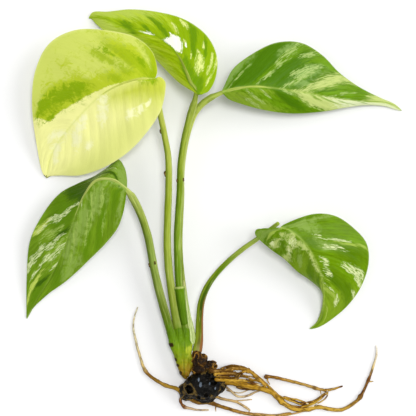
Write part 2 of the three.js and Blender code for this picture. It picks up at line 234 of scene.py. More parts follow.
PETIOLES = {
    "cream_petiole": StalkRoute(base=(-14.5, 29.6, 8), length=134.6, rise=33.5, base_radius=2.4,
        tip_radius=1.5, taper=1,
        route=((0, 0, 0), (-1.6, 8.6, 4.7), (-2.8, 16.3, 9.4), (-4, 26.1, 15.7), (-4.5, 36.6, 22.7),
            (-4.2, 47.9, 30.6), (-3.8, 58.8, 38.4), (-4, 70, 47.1), (-5.5, 79.2, 56.1), (-7.1, 87.1, 64.7),
            (-8.2, 93.9, 74.5), (-8.9, 97.3, 86.3), (-9.3, 99.6, 100))),
    "left_petiole": StalkRoute(base=(-15.9, 20.5, 8), length=89, rise=18.5, base_radius=2.4, tip_radius=2,
        taper=1,
        route=((0, 0, 0), (-2.4, 7.2, 1), (-6.7, 21.4, 10.5), (-10, 33.7, 21.5), (-12.9, 46, 34.5),
            (-14.9, 57, 47.5), (-17, 68, 61), (-19.7, 77, 72.5), (-23, 85.2, 84), (-26.9, 92.4, 93.5),
            (-29.3, 95.8, 100))),
    "top_petiole": StalkRoute(base=(-10.6, 28.5, 8), length=127.8, rise=28, base_radius=2, tip_radius=1.8,
        taper=1,
        route=((0, 0, 0), (-1.6, 9.4, 6), (-2.8, 20.6, 13), (-3.3, 30, 20), (-3.5, 39.4, 28),
            (-3, 50, 37.5), (-2.3, 60.6, 47.5), (-1.9, 71.6, 57.5), (-0.5, 81.3, 67.5), (1.5, 89.7, 77.5),
            (3.1, 95.1, 85), (4.4, 98.6, 92.5), (5.6, 99.8, 100))),
    "lower_petiole": StalkRoute(base=(-4.4, 17.4, 7.6), length=83.4, rise=24.3, base_radius=2.5,
        tip_radius=1.1, taper=0.6,
        route=((0, 0, 0), (1.3, 8, 0), (1.8, 22.5, 7.8), (3.3, 34.4, 16.2), (7.5, 44.5, 25.1),
            (14, 53.2, 33.5), (21.8, 61.1, 43.1), (30.2, 68.1, 53.3), (38.5, 73.9, 64.1), (45.3, 78.9, 76),
            (50.9, 83.3, 91), (53.1, 84.9, 100))),
    "right_petiole": StalkRoute(base=(-9, 29.5, 6), length=129.8, rise=24.3, base_radius=2, tip_radius=1.6,
        taper=1,
        route=((0, 0, 0), (-1.7, 12.6, 0), (-3.3, 25.3, 2.2), (-3.9, 35.8, 6.6), (-3.6, 46.4, 12),
            (-3.1, 56.9, 19.1), (-2.9, 67.4, 28.4), (-1.7, 76.6, 38.3), (0.3, 84.9, 50.3),
            (2.6, 90.7, 61.7), (5.5, 94.5, 73.8), (9.5, 97.4, 87.4), (13.7, 99.1, 100)))}

LEAVES = {
    "cream_leaf": LeafOutline(petiole="cream_petiole", seat=(-0.2, 0.9, 2.5), length=79.2, crown=2.5,
        rib=((0, 0, 100), (-9.5, 0.5, 101), (-20, -2, 97), (-34.5, -9, 86), (-51, -23.5, 62.5),
            (-67, -42, 30.5), (-73, -53, 14), (-75.5, -65.5, 0)),
        left=((0, 0, 100), (2, 5.5, 93), (-1, 19, 80.5), (-12.5, 29.5, 68), (-30.5, 34.5, 57),
            (-54.5, 35.5, 44.5), (-72, 27, 37.5), (-82, 8.5, 33.5), (-84.5, -15.5, 29), (-82, -40.5, 18),
            (-78, -62, 3), (-75.5, -65.5, 0)),
        right=((0, 0, 100), (4, 2, 98.5), (7.5, -1, 96), (7.5, -8, 93), (4.5, -20, 84.5), (-3, -32, 72),
            (-17, -47, 53), (-34.5, -58, 34.5), (-52, -63.5, 19.5), (-66, -63.5, 8.5), (-73, -64, 2.5),
            (-75.5, -65.5, 0))),
    "top_leaf": LeafOutline(petiole="top_petiole", seat=(0.3, 0.9, 2), length=74.9, crown=1.2,
        rib=((0, 0, 100), (-5.5, 8, 96.5), (-13, 25.5, 80), (-25.5, 40, 56.5), (-39.5, 47.5, 40),
            (-56.5, 52, 25), (-70.5, 58, 13.5), (-81, 58.5, 0)),
        left=((0, 0, 100), (-5, 3, 93), (-14.5, 9.5, 76.5), (-24.5, 19.5, 58.5), (-34, 29.5, 43.5),
            (-44.5, 37, 31.5), (-58, 43.5, 21.5), (-69.5, 49, 13.5), (-75.5, 54, 6.5), (-79, 58, 2),
            (-81, 58.5, 0)),
        right=((0, 0, 100), (6.5, 2.5, 93), (12, 13.5, 73.5), (12.5, 29.5, 53.5), (5, 44.5, 40),
            (-10.5, 56, 30), (-28.5, 61.5, 23.5), (-50.5, 64, 16.5), (-67.5, 62.5, 10), (-78, 62.5, 3.5),
            (-81, 58.5, 0))),
    "right_leaf": LeafOutline(petiole="right_petiole", seat=(0.4, 0.6, 1.7), length=99.4, crown=1.2,
        rib=((0, 0, 100), (9, 2, 104), (19, 3, 96), (34.5, 1.5, 77), (49, -0.5, 57.5), (65, -3, 36.5),
            (80, -4.5, 17.5), (92, -5.5, 4), (99.5, -9, 0)),
        left=((0, 0, 100), (1.5, 3.5, 94), (6, 12.5, 79), (16.5, 21, 63.5), (30, 27.5, 52),
            (43.5, 27.5, 44), (55, 21, 36.5), (64.5, 11.5, 29), (76, 3.5, 19), (88.5, -2.5, 6.5),
            (95.5, -5.5, 1.5), (99.5, -9, 0)),
        right=((0, 0, 100), (3.5, -3.5, 86.5), (10.5, -6, 73), (22, -9, 61.5), (37.5, -11, 50),
            (54, -10, 38.5), (68, -7.5, 27), (79, -6, 15.5), (90, -6.5, 5.5), (96.5, -8.5, 1.5),
            (99.5, -9, 0))),
    "left_leaf": LeafOutline(petiole="left_petiole", seat=(-0.5, 0.6, 1.5), length=90.3, crown=1.5,
        rib=((0, 0, 100), (-4.5, 3, 107.5), (-10.5, 6, 112.5), (-18, 5, 110), (-24, -2, 102.5),
            (-30.5, -15.5, 85), (-37, -33, 60), (-45.5, -51.5, 35), (-55.5, -68, 12.5), (-61.5, -78.5, 0)),
        left=((0, 0, 100), (0, 7, 82.5), (-2, 14, 65), (-5.5, 18, 52.5), (-12, 13, 45), (-19.5, 8, 45),
            (-29.5, 3.5, 47.5), (-40.5, -2.5, 47.5), (-51.5, -16, 40), (-59, -31.5, 30), (-61, -52, 17.5),
            (-61.5, -69, 6), (-61.5, -78.5, 0)),
        right=((0, 0, 100), (-0.5, -5, 92.5), (-2, -13.5, 85), (-5.5, -23, 75), (-12, -31.5, 62.5),
            (-22.5, -42, 50), (-36, -54.5, 35), (-49, -64, 20), (-58.5, -73, 6), (-61.5, -78.5, 0))),
    "lower_leaf": LeafOutline(petiole="lower_petiole", seat=(0.5, -2.7, 1.2), length=58.3, crown=1.2,
        rib=((0, 0, 100), (10, -3, 102), (23, -14, 98), (32.5, -29, 84.5), (40, -48.5, 61),
            (42, -68.5, 33.5), (39, -86, 10), (29.5, -95.5, 0)),
        left=((0, 0, 100), (4, 3, 96), (17, 8.5, 86.5), (33.5, 13, 76.5), (51.5, 11, 68.5), (67.5, 1, 61),
            (81, -14, 53), (83.5, -32, 45), (77.5, -53.5, 33.5), (65, -72.5, 19.5), (44.5, -90, 4),
            (35.5, -94.5, 1), (29.5, -95.5, 0)),
        right=((0, 0, 100), (-11, -0.5, 96), (-22, -2, 86.5), (-22.5, -6, 80.5), (-9, -19, 70.5),
            (5, -29, 61), (17.5, -41, 51), (28, -48, 43), (40, -59.5, 33.5), (41, -73.5, 17.5),
            (35.5, -90.5, 3), (29.5, -95.5, 0)))}

ROOTS = {
    "thick_root": RootRoute(base_radius=1.9, tip_radius=0.45, taper=1.1,
        route=((2.7, 4.2, 10), (10.3, 1.7, 7.5), (18.1, 0.1, 5.5), (25.8, -1.5, 4.2), (31.8, -3, 3.4),
            (37.3, -5.3, 2.6), (42.8, -10.8, 1.8), (50, -14.4, 1.4), (56.6, -14.3, 1.3), (62.1, -13.2, 1.2),
            (67.6, -14.2, 1.2), (74.2, -14.7, 1.1), (79.7, -12.5, 1), (85.2, -7.6, 0.9), (89.6, 1.2, 0.8),
            (93.1, 11.1, 0.7), (94.4, 16, 0.6), (94, 21, 0.5))),
    "upper_root": RootRoute(base_radius=1.3, tip_radius=0.9, taper=1,
        route=((2.2, 7.5, 12), (9.3, 7.4, 10.5), (15.3, 8.6, 9), (19.7, 8.5, 7.8), (25.2, 6.5, 6.8),
            (29, 3.2, 6.4), (31.5, 0.6, 6), (33.5, -1.6, 6))),
    "loop_root": RootRoute(base_radius=1.1, tip_radius=0.9, taper=1,
        route=((32.3, 3.7, 4.2), (36.8, 3.6, 3.4), (43.4, 2.1, 2.2), (52.2, -0.2, 1.5), (59.9, -2.4, 1.3),
            (65.9, -4, 1.3), (67.3, -5.1, 1.2), (64.8, -6.8, 1.2), (58.8, -10.3, 1.2), (52.7, -11.2, 1.2),
            (47.2, -9, 1.4))),
    "bottom_root": RootRoute(base_radius=1.1, tip_radius=0.8, taper=1,
        route=((-12, -5, 6), (-8.2, -8.4, 4.4), (-3.3, -10.5, 3), (2.7, -10.5, 2), (8.8, -12.8, 1.4),
            (15.9, -15, 1.3), (23.6, -16.9, 1.3), (32.4, -17.5, 1.3), (41.2, -17.5, 1.2),
            (47.8, -16.7, 1.1))),
    "long_root": RootRoute(base_radius=1.2, tip_radius=0.35, taper=1,
        route=((-10.4, -7.1, 6.5), (-14.8, -3.2, 5), (-21.4, -1, 3.2), (-28, 2.3, 1.9), (-32.7, 6.7, 1.3),
            (-35.4, 13.8, 1.1), (-37.9, 22.6, 0.9), (-39.4, 30.8, 0.8), (-38.6, 36.9, 0.7),
            (-36.8, 42.1, 0.6))),
    "curl_root": RootRoute(base_radius=0.9, tip_radius=0.4, taper=1,
        route=((-12.6, -6.2, 4.5), (-13.4, -9.7, 2.8), (-11.5, -12.8, 1.4), (-8.2, -13.8, 1),
            (-4.4, -14.7, 0.9), (2.2, -14.8, 0.8))),
    "fine_root": RootRoute(base_radius=0.7, tip_radius=0.5, taper=1,
        route=((9.3, 0, 6.5), (13.7, -3.5, 4.6), (18.1, -7.2, 2.4), (23.1, -7, 1.6), (28, -4.8, 1.5),
            (31.9, -3.4, 1.6))),
    "short_root": RootRoute(base_radius=0.8, tip_radius=0.6, taper=1,
        route=((4.9, -6.7, 5), (11, -8.8, 2.8), (17, -10.3, 1.4), (22, -13.1, 1.2), (24.7, -15, 1.2)))}



# ---------------------------------------------------------------- mesh tools


def deselect() -> None:
    """Leaves object mode with nothing selected."""
    if bpy.context.object is not None and bpy.context.object.mode != "OBJECT":
        bpy.ops.object.mode_set(mode="OBJECT")
    bpy.ops.object.select_all(action="DESELECT")


def choose(piece: Piece) -> None:
    """Makes a piece the only selected and active one."""
    deselect()
    piece.select_set(True)
    bpy.context.view_layer.objects.active = piece


def new_sheet(name: str, rows: int, columns: int) -> tuple[Piece, Array]:
    """Adds a flat grid to be laid over a shape.

    Args:
        name: The piece's name.
        rows: Faces along the piece.
        columns: Faces across it.

    Returns:
        The object, and each vertex's share along and across, from 0 to 1.
    """
    deselect()
    bpy.ops.mesh.primitive_grid_add(x_subdivisions=rows, y_subdivisions=columns, size=1.0, location=(0, 0, 0))
    sheet = bpy.context.object
    sheet.name = name
    sheet.data.name = name
    return sheet, places_of(sheet)[:, :2] + 0.5


def places_of(piece: Piece) -> Array:
    """Returns every vertex's place, one row each."""
    flat = np.empty(len(piece.data.vertices) * 3)
    piece.data.vertices.foreach_get("co", flat)
    return flat.reshape(-1, 3)


def normals_of(piece: Piece) -> Array:
    """Returns every vertex's normal, one row each."""
    flat = np.empty(len(piece.data.vertices) * 3)
    piece.data.vertex_normals.foreach_get("vector", flat)
    return flat.reshape(-1, 3)


def spots(place: Array, marks: tuple[tuple[float, float, float], ...]) -> Array:
    """Returns 1 in the middle of round marks, a half at their edge, and 0 away from them.

    Args:
        place: One row of x, y and z for each place, in millimetres.
        marks: Each mark's x, y and radius.

    Returns:
        One value for each place.
    """
    most = np.zeros(len(place))
    for x, y, radius in marks:
        off = np.hypot(place[:, 0] - x, place[:, 1] - y) / radius
        most = np.maximum(most, np.exp(HALF_LOG * off**2))
    return most


def move_to(piece: Piece, places: Array) -> None:
    """Moves every vertex to its new place."""
    piece.data.vertices.foreach_set("co", np.asarray(places, dtype=float).ravel())
    piece.data.update()


def store(piece: Piece, name: str, values: Array) -> None:
    """Keeps a number or a vector for each vertex, for the piece's material to read.

    Args:
        piece: The piece.
        name: The attribute's name.
        values: One number or one row for each vertex.
    """
    kind, part = ("FLOAT", "value") if values.ndim == 1 else ("FLOAT_VECTOR", "vector")
    layer = piece.data.attributes.new(name, kind, "POINT")
    layer.data.foreach_set(part, np.asarray(values, dtype=float).ravel())


def set_uv(piece: Piece, name: str, uv: Array) -> None:
    """Gives a piece a UV map of its own.

    Args:
        piece: The piece.
        name: The map's name.
        uv: One row of u and v for each vertex.
    """
    corners = np.empty(len(piece.data.loops), dtype=int)
    piece.data.loops.foreach_get("vertex_index", corners)
    layer = piece.data.uv_layers[0]
    layer.name = name
    layer.data.foreach_set("uv", uv[corners].ravel())


def edit_all(piece: Piece, *steps: Callable[[], object]) -> None:
    """Works on the whole of a piece in edit mode, one step after another."""
    choose(piece)
    bpy.ops.object.mode_set(mode="EDIT")
    bpy.ops.mesh.select_all(action="SELECT")
    for step in steps:
        step()
    bpy.ops.object.mode_set(mode="OBJECT")


def close_up(piece: Piece, distance: float = 2e-6) -> None:
    """Merges vertices that meet, and turns every face outwards."""
    edit_all(
        piece,
        lambda: bpy.ops.mesh.remove_doubles(threshold=distance),
        lambda: bpy.ops.mesh.normals_make_consistent(inside=False),
    )


def apply_modifier(piece: Piece, kind: str, **settings: object) -> None:
    """Adds a modifier and applies it.

    Args:
        piece: The piece.
        kind: The modifier's type.
        **settings: Its settings, by name.
    """
    choose(piece)
    modifier = piece.modifiers.new(kind.lower(), kind)
    for key, value in settings.items():
        setattr(modifier, key, value)
    bpy.ops.object.modifier_apply(modifier=modifier.name)


def smooth_faces(piece: Piece, degrees: float = 50.0) -> None:
    """Shades a piece smooth, with edges kept where it turns sharply."""
    choose(piece)
    bpy.ops.object.shade_smooth_by_angle(angle=math.radians(degrees))


def join(name: str, pieces: list[Piece]) -> Piece:
    """Joins pieces into one object.

    Args:
        name: The name of the result.
        pieces: The pieces, the first of which becomes the result.

    Returns:
        The joined object.
    """
    deselect()
    for piece in pieces:
        piece.select_set(True)
    bpy.context.view_layer.objects.active = pieces[0]
    bpy.ops.object.join()
    pieces[0].name = name
    pieces[0].data.name = name
    return pieces[0]


def finish_piece(piece: Piece, node: str, material: Material) -> None:
    """Dresses a piece and ties it to the frame.

    Args:
        piece: The piece.
        node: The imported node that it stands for.
        material: Its finish.
    """
    piece.data.materials.clear()
    piece.data.materials.append(material)
    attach(piece, "root")
    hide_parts(node)
    LOG.info("%s: %d vertices, for %s", piece.name, len(piece.data.vertices), node)


@dataclass(frozen=True)
class TubeShape:
    """How a stalk or a root departs from a plain round tube. Lengths are in millimetres."""

    cap_share: float = 0.01
    breadth: float = 1.0
    flatness: float = 1.0
    channel: float = 0.0
    lumps: float = 0.0
    lump_length: float = 6.0
    waver: float = 0.0
    seed: float = 0.0

    CHANNEL_HALF_ANGLE = 0.42

    def swell(self, flow: Array, turn: Array) -> Array:
        """Returns how much fatter the tube is at each place.

        Args:
            flow: The place on the tube as if that were straight.
            turn: The angle round the tube, from its right side.

        Returns:
            One factor for each place.
        """
        factor = 1 - self.channel * np.exp(-(((turn - math.pi / 2) / self.CHANNEL_HALF_ANGLE) ** 2))
        if self.lumps:
            skin = flow * np.array([0.5, 0.5, 1 / self.lump_length])
            lumps = wander(skin, 1.0, self.seed) + 0.6 * wander(skin, 2.6, self.seed + 1)
            factor = factor + self.lumps * lumps
        return factor

    def drift(self, travelled: Array, near_end: Array) -> tuple[Array, Array]:
        """Returns the line's small wander to the side and upwards.

        Args:
            travelled: The length from the start of the tube.
            near_end: 0 at the tube's ends and 1 away from them.

        Returns:
            The move aside and the move up, for each place.
        """
        if not self.waver:
            return np.zeros_like(travelled), np.zeros_like(travelled)
        line = np.stack([travelled, np.zeros_like(travelled), np.zeros_like(travelled)], axis=-1)
        aside = wander(line, 0.13, self.seed + 2) + 0.5 * wander(line, 0.4, self.seed + 3)
        lift = np.abs(wander(line, 0.2, self.seed + 4))
        return aside * self.waver * near_end, lift * self.waver * 0.4 * near_end


def tube(name: str, path: Path, radius: Array, shape: TubeShape, sides: int = 20) -> Piece:
    """Makes a closed stalk along a path.

    Args:
        name: The piece's name.
        path: Its centre line, in millimetres.
        radius: The radius at even steps of the length, in millimetres.
        shape: How its section and its line depart from a plain tube.
        sides: Faces round it.

    Returns:
        The piece. Each vertex keeps "along", its share of the length, "side", which is 1 on the right of the
        tube and -1 on its left, and "flow", its place on the tube as if that were straight, in millimetres.
    """
    piece, share = new_sheet(name, len(radius) - 1, sides)
    along, turn = share[:, 0], (share[:, 1] - 0.25) * math.tau
    near_end = np.clip(np.minimum(along, 1 - along) / shape.cap_share, 0.0, 1.0)
    _, across, above = path.axes(along)
    size = np.interp(along, np.linspace(0, 1, len(radius)), radius) * np.sqrt(near_end * (2 - near_end))
    flow = np.stack([np.cos(turn) * size, np.sin(turn) * size, along * path.length], axis=-1)
    size = size * shape.swell(flow, turn)
    aside, lift = shape.drift(along * path.length, near_end)
    place = (
        path.at(along)
        + across * (np.cos(turn) * size * shape.breadth + aside)[:, None]
        + above * (np.sin(turn) * size * shape.flatness + lift)[:, None]
    )
    place[:, 2] = np.maximum(place[:, 2], 0.0)
    move_to(piece, place * MM)
    store(piece, "along", along)
    store(piece, "side", np.cos(turn))
    store(piece, "flow", flow)
    close_up(piece)
    smooth_faces(piece)
    return piece


def restart(piece: Piece, end: float) -> None:
    """Makes a tube's "along" run to 1 at a share of its length, and stay there beyond it."""
    layer = piece.data.attributes["along"]
    values = np.empty(len(layer.data))
    layer.data.foreach_get("value", values)
    layer.data.foreach_set("value", np.minimum(values / end, 1.0))


def hold_tone(piece: Piece, share: float) -> None:
    """Gives a whole tube the colour that its material has at one share of the length."""
    layer = piece.data.attributes["along"]
    layer.data.foreach_set("value", np.full(len(layer.data), share))


def tapered(base: float, tip: float, taper: float, steps: int) -> Array:
    """Returns radii that run from base to tip at even steps of the length."""
    return base + (tip - base) * np.linspace(0.0, 1.0, steps + 1) ** taper


# ---------------------------------------------------------------- finishes

Color = tuple[int, int, int]
Shade = tuple[float, float, float, float]
Stops = tuple[tuple[float, int, int, int], ...]
Socket = bpy.types.NodeSocket


def linear(color: Color) -> Shade:
    """Returns a display colour from 0 to 255 as the linear colour that a shader takes."""
    parts = [c / 255 for c in color]
    return (*[c / 12.92 if c <= 0.04045 else ((c + 0.055) / 1.055) ** 2.4 for c in parts], 1.0)


class Recipe:
    """A material in the making, with short ways to add its nodes and to lay one colour over another."""

    def __init__(self, name: str) -> None:
        """Starts a material of this name, with a plain shader and no colour yet."""
        self.material = bpy.data.materials.new(name)
        self.material.use_nodes = True
        self.tree = self.material.node_tree
        self.shader = self.tree.nodes["Principled BSDF"]
        self.color: object = None

    def put(self, value: object, socket: Socket) -> None:
        """Joins a socket to another, or sets it to a value."""
        if isinstance(value, Socket):
            self.tree.links.new(value, socket)
        else:
            socket.default_value = value

    def add(self, kind: str, inputs: dict[int | str, object], **settings: object) -> bpy.types.Node:
        """Adds a node.

        Args:
            kind: The node's type.
            inputs: What each of its sockets takes, by number or name.
            **settings: The node's own settings, by name.

        Returns:
            The node.
        """
        node = self.tree.nodes.new(kind)
        for key, value in settings.items():
            setattr(node, key, value)
        for key, value in inputs.items():
            self.put(value, node.inputs[key])
        return node

    def math(self, way: str, a: object, b: object = 0.0) -> Socket:
        """Returns the result of one sum, such as ADD or MULTIPLY."""
        return self.add("ShaderNodeMath", {0: a, 1: b}, operation=way).outputs[0]

    def torn(self, value: object, noise_value: Socket, amount: float) -> Socket:
        """Returns a value with its borders broken up by noise."""
        return self.math("ADD", value, self.math("MULTIPLY", self.math("SUBTRACT", noise_value, 0.5), amount))

    def blend(self, a: Socket, b: Socket, share: float) -> Socket:
        """Returns this share of a with the rest of b."""
        rest = self.math("MULTIPLY", b, round(1 - share, 3))
        return self.math("ADD", self.math("MULTIPLY", a, share), rest)

    def value(self, name: str, output: str = "Fac") -> Socket:
        """Returns a number that the mesh keeps for each vertex, or, with the output "Vector", a vector."""
        return self.add("ShaderNodeAttribute", {}, attribute_name=name).outputs[output]

    def place(self) -> Socket:
        """Returns the place in the part's frame, in metres."""
        return self.add("ShaderNodeTexCoord", {}).outputs["Object"]

    def noise(self, vector: Socket, scale: float, detail: float = 3.0, rough: float = 0.55,
              twist: float = 0.0) -> Socket:
        """Returns soft noise from 0 to 1, mostly between 0.3 and 0.7."""
        inputs = {"Vector": vector, "Scale": scale, "Detail": detail, "Roughness": rough, "Distortion": twist}
        return self.add("ShaderNodeTexNoise", inputs).outputs["Fac"]

    def grain(self, vector: Socket, scale: Point, detail: float = 3.0, rough: float = 0.6,
              twist: float = 0.0, shift: Point = (0, 0, 0)) -> Socket:
        """Returns noise that is stretched along the vector's own axes, and moved by the shift."""
        moved = self.add("ShaderNodeMapping", {"Vector": vector, "Scale": scale, "Location": shift})
        return self.noise(moved.outputs[0], 1.0, detail, rough, twist)

    def rise(self, value: object, low: float, high: float, start: float = 0.0, end: float = 1.0) -> Socket:
        """Returns start below low, end above high, and a smooth change between them."""
        inputs = {0: value, 1: low, 2: high, 3: start, 4: end}
        return self.add("ShaderNodeMapRange", inputs, interpolation_type="SMOOTHSTEP").outputs[0]

    def mix(self, share: object, a: object, b: object, way: str = "MIX") -> Socket:
        """Returns two colours mixed."""
        kind = {"data_type": "RGBA", "blend_type": way, "clamp_factor": True}
        return self.add("ShaderNodeMix", {0: share, 6: a, 7: b}, **kind).outputs[2]

    def lay(self, share: object, shade: object, way: str = "MIX") -> None:
        """Lays a colour over the material's own, by a share from 0 to 1."""
        self.color = self.mix(share, self.color, shade, way)

    def wash(self, color: Color, value: object, low: float, high: float, cover: float = 1.0) -> None:
        """Lays a colour over the material's own where a value has passed from low to high.

        Args:
            color: The colour.
            value: The value that says where.
            low: Where the colour starts to show.
            high: Where it shows most. It may be less than low.
            cover: How much it covers there.
        """
        self.lay(self.rise(value, low, high, 0.0, cover), linear(color))

    def ramp(self, value: Socket, stops: Stops) -> None:
        """Starts the material's colour with one that changes with a value.

        Args:
            value: The value.
            stops: Rows of the value in percent and the three parts of its colour, in order.
        """
        node = self.add("ShaderNodeValToRGB", {0: value})
        marks = node.color_ramp.elements
        for mark, (percent, *color) in zip(marks, (stops[0], stops[-1])):
            mark.position, mark.color = percent / 100, linear(color)
        for percent, *color in stops[1:-1]:
            marks.new(percent / 100).color = linear(color)
        self.color = node.outputs[0]

    def bump(self, height: Socket, depth: float, strength: float = 1.0) -> None:
        """Raises the surface's shading by a height.

        Args:
            height: The height, from 0 to 1.
            depth: What a height of 1 stands for, in millimetres.
            strength: How strongly it shows.
        """
        node = self.add("ShaderNodeBump", {"Strength": strength, "Distance": depth * MM, "Height": height})
        self.put(node.outputs[0], self.shader.inputs["Normal"])

    def dress(self, roughness: object, specular: float, coat: float = 0.0,
              coat_roughness: float = 0.2) -> Material:
        """Sets the shader and returns the finished material.

        Args:
            roughness: A number or a socket.
            specular: How strongly the surface shines.
            coat: Weight of the clear coat.
            coat_roughness: How dull that coat is.

        Returns:
            The material.
        """
        self.put(self.color, self.shader.inputs["Base Color"])
        self.put(roughness, self.shader.inputs["Roughness"])
        self.shader.inputs["Specular IOR Level"].default_value = specular
        self.shader.inputs["Coat Weight"].default_value = coat
        self.shader.inputs["Coat Roughness"].default_value = coat_roughness
        return self.material


def fan_share(along: Array, across: Array, sweep: tuple[float, float]) -> Array:
    """Returns where the side vein through each place leaves the midrib.

    Args:
        along: The share along the blade.
        across: The share across it.
        sweep: How far the side veins run forward on their way to the left and to the right margin.

    Returns:
        The share along the midrib.
    """
    return along - np.where(across < 0, sweep[0], sweep[1]) * np.abs(across)


class Grain(Enum):
    """How the border of a tint is broken up."""

    STREAKY = "along the side veins"
    HAIRY = "in broken hairlines along the side veins"
    BLOTCHY = "in round spots"


@dataclass(frozen=True)
class Tint:
    """One colour laid on a blade, and where it lies. Most tints are the marbling's own colours; some are
    painted sheen, highlights and shade.

    Places are in percent along the blade, and in percent across it from the midrib, below zero to the left.
    Areas are outlines. Strokes are soft streaks along the side veins: each has its place along and across,
    its width, its reach, and its strength in percent where that is under 100.
    """

    name: str
    color: Color
    strokes: tuple[tuple[float, ...], ...] = ()
    areas: tuple[Outline, ...] = ()
    feather: float = 0.05
    ragged: float = 0.5
    soft: float = 0.16
    grain: Grain = Grain.STREAKY
    cover: float = 1.0
    fullness: float = 1.0

    STRETCH = 0.38

    def mask(self, along: Array, across: Array, sweep: tuple[float, float]) -> Array:
        """Returns how far each place lies inside the tint, where a half is its border.

        Args:
            along: The share along the blade.
            across: The share across it.
            sweep: As for fan_share.

        Returns:
            One value from 0 to 1 for each place.
        """
        clear = np.ones_like(along)
        vein = fan_share(along, across, sweep)
        for stroke in self.strokes:
            at, side, width, reach, strength = (np.array(part / 100) for part in (*stroke, 100)[:5])
            off = (vein - fan_share(at, side, sweep)) / width
            out = (across - side) / reach
            clear *= 1 - strength * np.exp(HALF_LOG * (off**2 + out**2))
        for area in self.areas:
            depth = self._depth(np.array(area) / 100, along, across)
            clear *= 1 - np.clip(0.5 + depth / (2 * self.feather), 0.0, 1.0)
        return 1 - clear

    def _depth(self, area: Array, along: Array, across: Array) -> Array:
        """Returns how deep inside an outline each place lies, below zero outside it."""
        points = area * np.array([1.0, self.STRETCH])
        place = np.stack([along, across * self.STRETCH], axis=-1)
        nearest = np.full(len(along), np.inf)
        inside = np.zeros(len(along), dtype=bool)
        for start, end in zip(points, np.roll(points, -1, axis=0)):
            edge = end - start
            offset = place - start
            share = np.clip(offset @ edge / (edge @ edge), 0.0, 1.0)
            nearest = np.minimum(nearest, np.linalg.norm(offset - share[:, None] * edge, axis=1))
            crosses = (start[1] > place[:, 1]) != (end[1] > place[:, 1])
            reach = edge[0] * (place[:, 1] - start[1]) / (edge[1] or 1e-9) + start[0]
            inside ^= crosses & (place[:, 0] < reach)
        return np.where(inside, nearest, -nearest)


@dataclass(frozen=True)
class LeafFinish:
    """Waxy leaf skin with marbled tints, among them painted sheen, highlights and shade."""

    base: Color
    tints: tuple[Tint, ...]
    rib: Color
    back: Color
    margin: Color
    rib_show: float = 0.5
    depth: float = 0.72
    lift: float = 1.2
    lively: float = 0.45
    veil: float = 0.3
    roughness: float = 0.27
    gain: float = 0.9
    shift: float = 0.0

    STREAK = (52, 4.4, 1)
    HAIR = (125, 7, 1)
    FINE = (150, 9, 1)
    CLOUD = (9, 2.2, 1)
    BLOTCH = 260.0
    SPECK = 950.0
    VEIL = (0.8, 0.86, 0.7, 1)

    def _shade(self, color: Color, factor: float = 1.0) -> Shade:
        """Returns a colour as the shader takes it, changed by the factor and by the blade's gain."""
        return (*[min(0.98, c * factor * self.gain) for c in linear(color)[:3]], 1.0)

    def build(self, name: str) -> Material:
        """Makes the material, which reads the blade's masks by the tints' names."""
        r = Recipe(name)
        fan = r.add("ShaderNodeUVMap", {}, uv_map="fan").outputs[0]
        place = r.place()
        shift = (self.shift, self.shift, 0)
        streak = r.rise(r.grain(fan, self.STREAK, 5.0, 0.68, shift=shift), 0.3, 0.7)
        hair = r.rise(r.grain(fan, self.HAIR, 4.0, 0.65, shift=shift), 0.3, 0.7)
        blotch = r.rise(r.noise(place, self.BLOTCH, 5.0, 0.68, 0.8), 0.3, 0.7)
        cloud = r.grain(fan, self.CLOUD, 3.0, 0.55, 0.4, shift)
        speck = r.noise(place, self.SPECK, 2.0)
        fine = r.rise(r.grain(fan, self.FINE, 3.0, 0.6, 0.7, shift), 0.36, 0.64)
        breaks = {
            Grain.STREAKY: r.blend(streak, hair, 0.35),
            Grain.HAIRY: r.blend(fine, blotch, 0.6),
            Grain.BLOTCHY: r.blend(blotch, hair, 0.75),
        }
        dark, light = self._shade(self.base, self.depth), self._shade(self.base, self.lift)
        r.color = r.mix(streak, dark, light)
        r.lay(r.rise(cloud, 0.36, 0.64, self.lively, 0.0), dark)
        r.lay(r.rise(cloud, 0.45, 0.68, 0.0, self.lively), light)
        for tint in self.tints:
            mask = r.math("MULTIPLY", r.value(tint.name), tint.fullness)
            torn = r.math("MULTIPLY", r.math("SUBTRACT", breaks[tint.grain], 0.5), tint.ragged)
            depth = r.math("ADD", mask, r.math("MULTIPLY", torn, r.rise(mask, 0.0, 0.35)))
            share = r.rise(depth, 0.5 - tint.soft, 0.5 + tint.soft, 0.0, tint.cover)
            r.lay(share, self._shade(tint.color))
        r.lay(r.rise(hair, 0.2, 0.8, self.veil, 0.0), self.VEIL, "MULTIPLY")
        r.lay(r.math("MULTIPLY", r.value("rib"), self.rib_show), self._shade(self.rib))
        r.lay(r.math("MULTIPLY", r.value("margin"), 0.4), self._shade(self.margin))
        r.lay(r.value("under"), r.mix(0.6, r.color, linear(self.back)))
        r.bump(r.blend(hair, speck, 0.4), 0.12, 0.6)
        return r.dress(r.rise(streak, 0.0, 1.0, self.roughness - 0.05, self.roughness + 0.08), specular=0.1)


